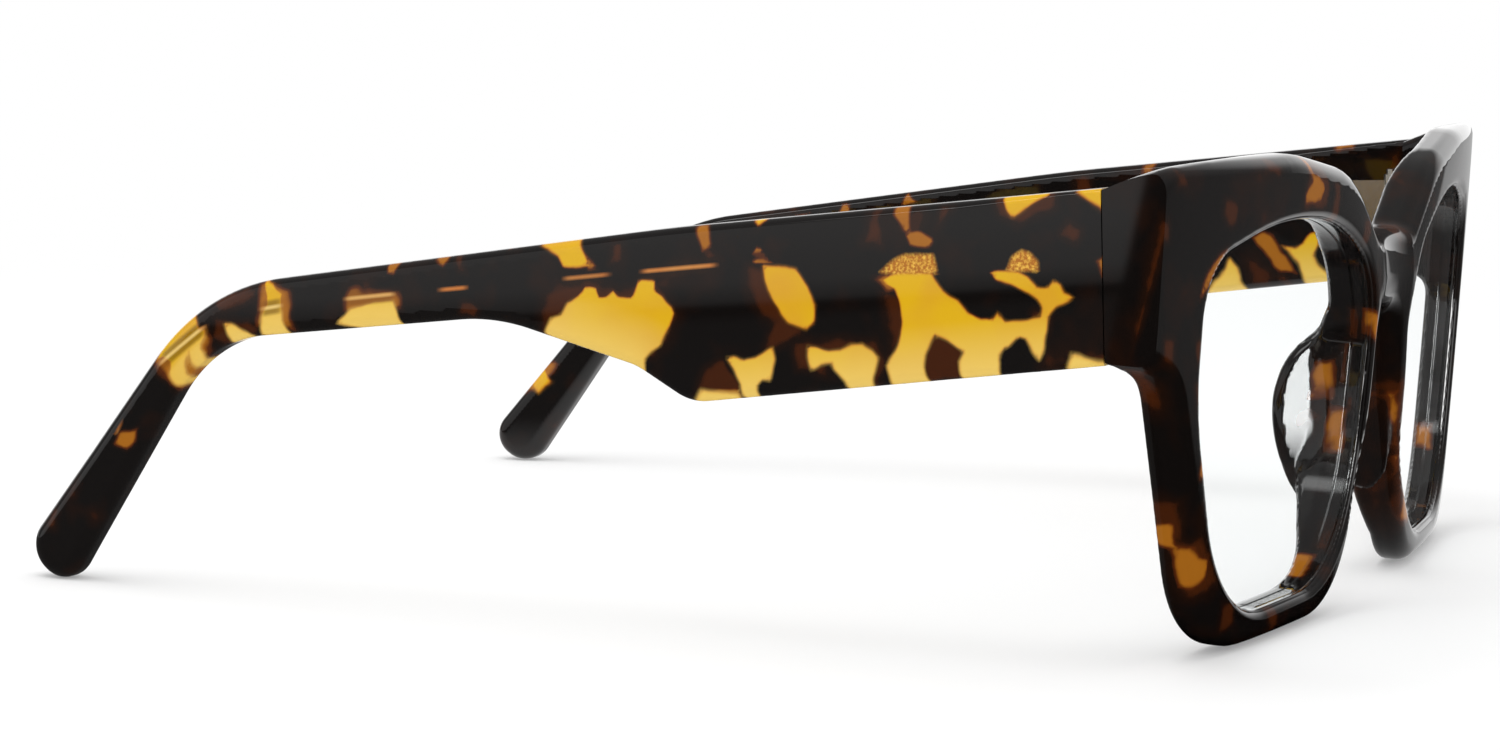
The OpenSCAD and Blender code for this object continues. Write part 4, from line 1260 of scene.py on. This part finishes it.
# %% World
CARDS = [
    (-22, 62, -20, 26, 14, 9, 1.3),
    (95, 215, -20, 34, 6, 6, 0.62),
    (138, 190, 41, 50, 4, 3, 3.5),
    (196, 226, 3, 45, 3, 4, 22.0),
    (232, 282, -10, 60, 9, 9, 2.2)]
world = bpy.data.worlds.new("studio")
bpy.context.scene.world = world
world.use_nodes = True
tree = world.node_tree
tree.nodes.clear()
rays = node(tree, "ShaderNodeLightPath").outputs
direction = node(tree, "ShaderNodeTexCoord").outputs["Generated"]
along = node(tree, "ShaderNodeSeparateXYZ", {0: direction}).outputs
height = calculate(tree, "ARCSINE", along["Z"])
azimuth = calculate(tree, "ARCTAN2", along["Y"], along["X"])
azimuth = calculate(tree, "WRAP", azimuth, radians(-67), radians(293))
studio = remap(tree, height, radians(4), radians(40), 0.12, 0.3)
for low, high, bottom, top, soft_side, soft_end, strength in CARDS:
    lit = strength
    for angle, edge, inwards, soft in ((azimuth, low, 1, soft_side), (azimuth, high, -1, soft_side),
                                       (height, bottom, 1, soft_end), (height, top, -1, soft_end)):
        edge_in = remap(tree, angle, radians(edge - inwards * soft), radians(edge + inwards * soft),
                        interpolation_type="SMOOTHSTEP")
        lit = calculate(tree, "MULTIPLY", lit, edge_in)
    studio = calculate(tree, "MAXIMUM", studio, lit)
shown = result(tree, "ShaderNodeMix", {"Factor": rays["Is Glossy Ray"], "A": 0.88, "B": studio})
strength = result(tree, "ShaderNodeMix", {"Factor": straight_rays(tree, rays), "A": shown, "B": 1.0})
light = result(tree, "ShaderNodeBackground", {"Strength": strength, "Color": (1, 1, 1, 1)})
node(tree, "ShaderNodeOutputWorld", {"Surface": light})

# %% [markdown]
# One large soft lamp from above lights the acetate's own colours and casts the soft shadow. It isn't
# mirrored, because the highlights come from the cards. The camera was solved from the photograph: it
# stands low, in front of the wearer's right temple, with a long lens.

# %% Lamp and camera
def soft_lamp(name, place, target, width, depth, power):
    data = bpy.data.lights.new(name, "AREA")
    data.shape = "RECTANGLE"
    data.size = width
    data.size_y = depth
    data.energy = power
    lamp = add_object(name, data)
    lamp.location = place
    lamp.rotation_euler = (Vector(target) - Vector(place)).to_track_quat("-Z", "Y").to_euler()
    lamp.visible_glossy = False


soft_lamp("top_softbox", (-0.2, 0.1, 1.2), (0, 0, 0), 1.0, 0.8, 6)

CAMERA_AT = (-0.44255, -0.17580, 0.07206)
YAW, PITCH, ROLL = radians(22.63), radians(6.06), radians(0.76)
SENSOR_MM, FOCAL_MM = 36, 92.7
forward = Vector((cos(YAW) * cos(PITCH), sin(YAW) * cos(PITCH), -sin(PITCH)))
right = Vector((sin(YAW), -cos(YAW), 0))
up = right.cross(forward)
right, up = cos(ROLL) * right + sin(ROLL) * up, cos(ROLL) * up - sin(ROLL) * right
camera_data = bpy.data.cameras.new("product_camera")
camera_data.sensor_width = SENSOR_MM
camera_data.lens = FOCAL_MM
camera_data.clip_start = 0.01
camera = add_object("product_camera", camera_data)
turned = Matrix((right, up, -forward)).transposed().to_4x4()
camera.matrix_world = Matrix.Translation(CAMERA_AT) @ turned
bpy.context.scene.camera = camera
bpy.context.scene.view_settings.view_transform = "Standard"

# %% [markdown]
# ## Sizes and finish
# The boxes of the CAD model and of the visual model are kept side by side in sizes, and the visual one is
# printed. The visual model has to stay inside the CAD model's box.

# %% Collect the sizes
new_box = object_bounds()
sizes = {"cad": [list(corner) for corner in cad_box], "visual": [list(corner) for corner in new_box]}
print("visual box in mm:", [[round(1000 * v, 2) for v in corner] for corner in new_box])
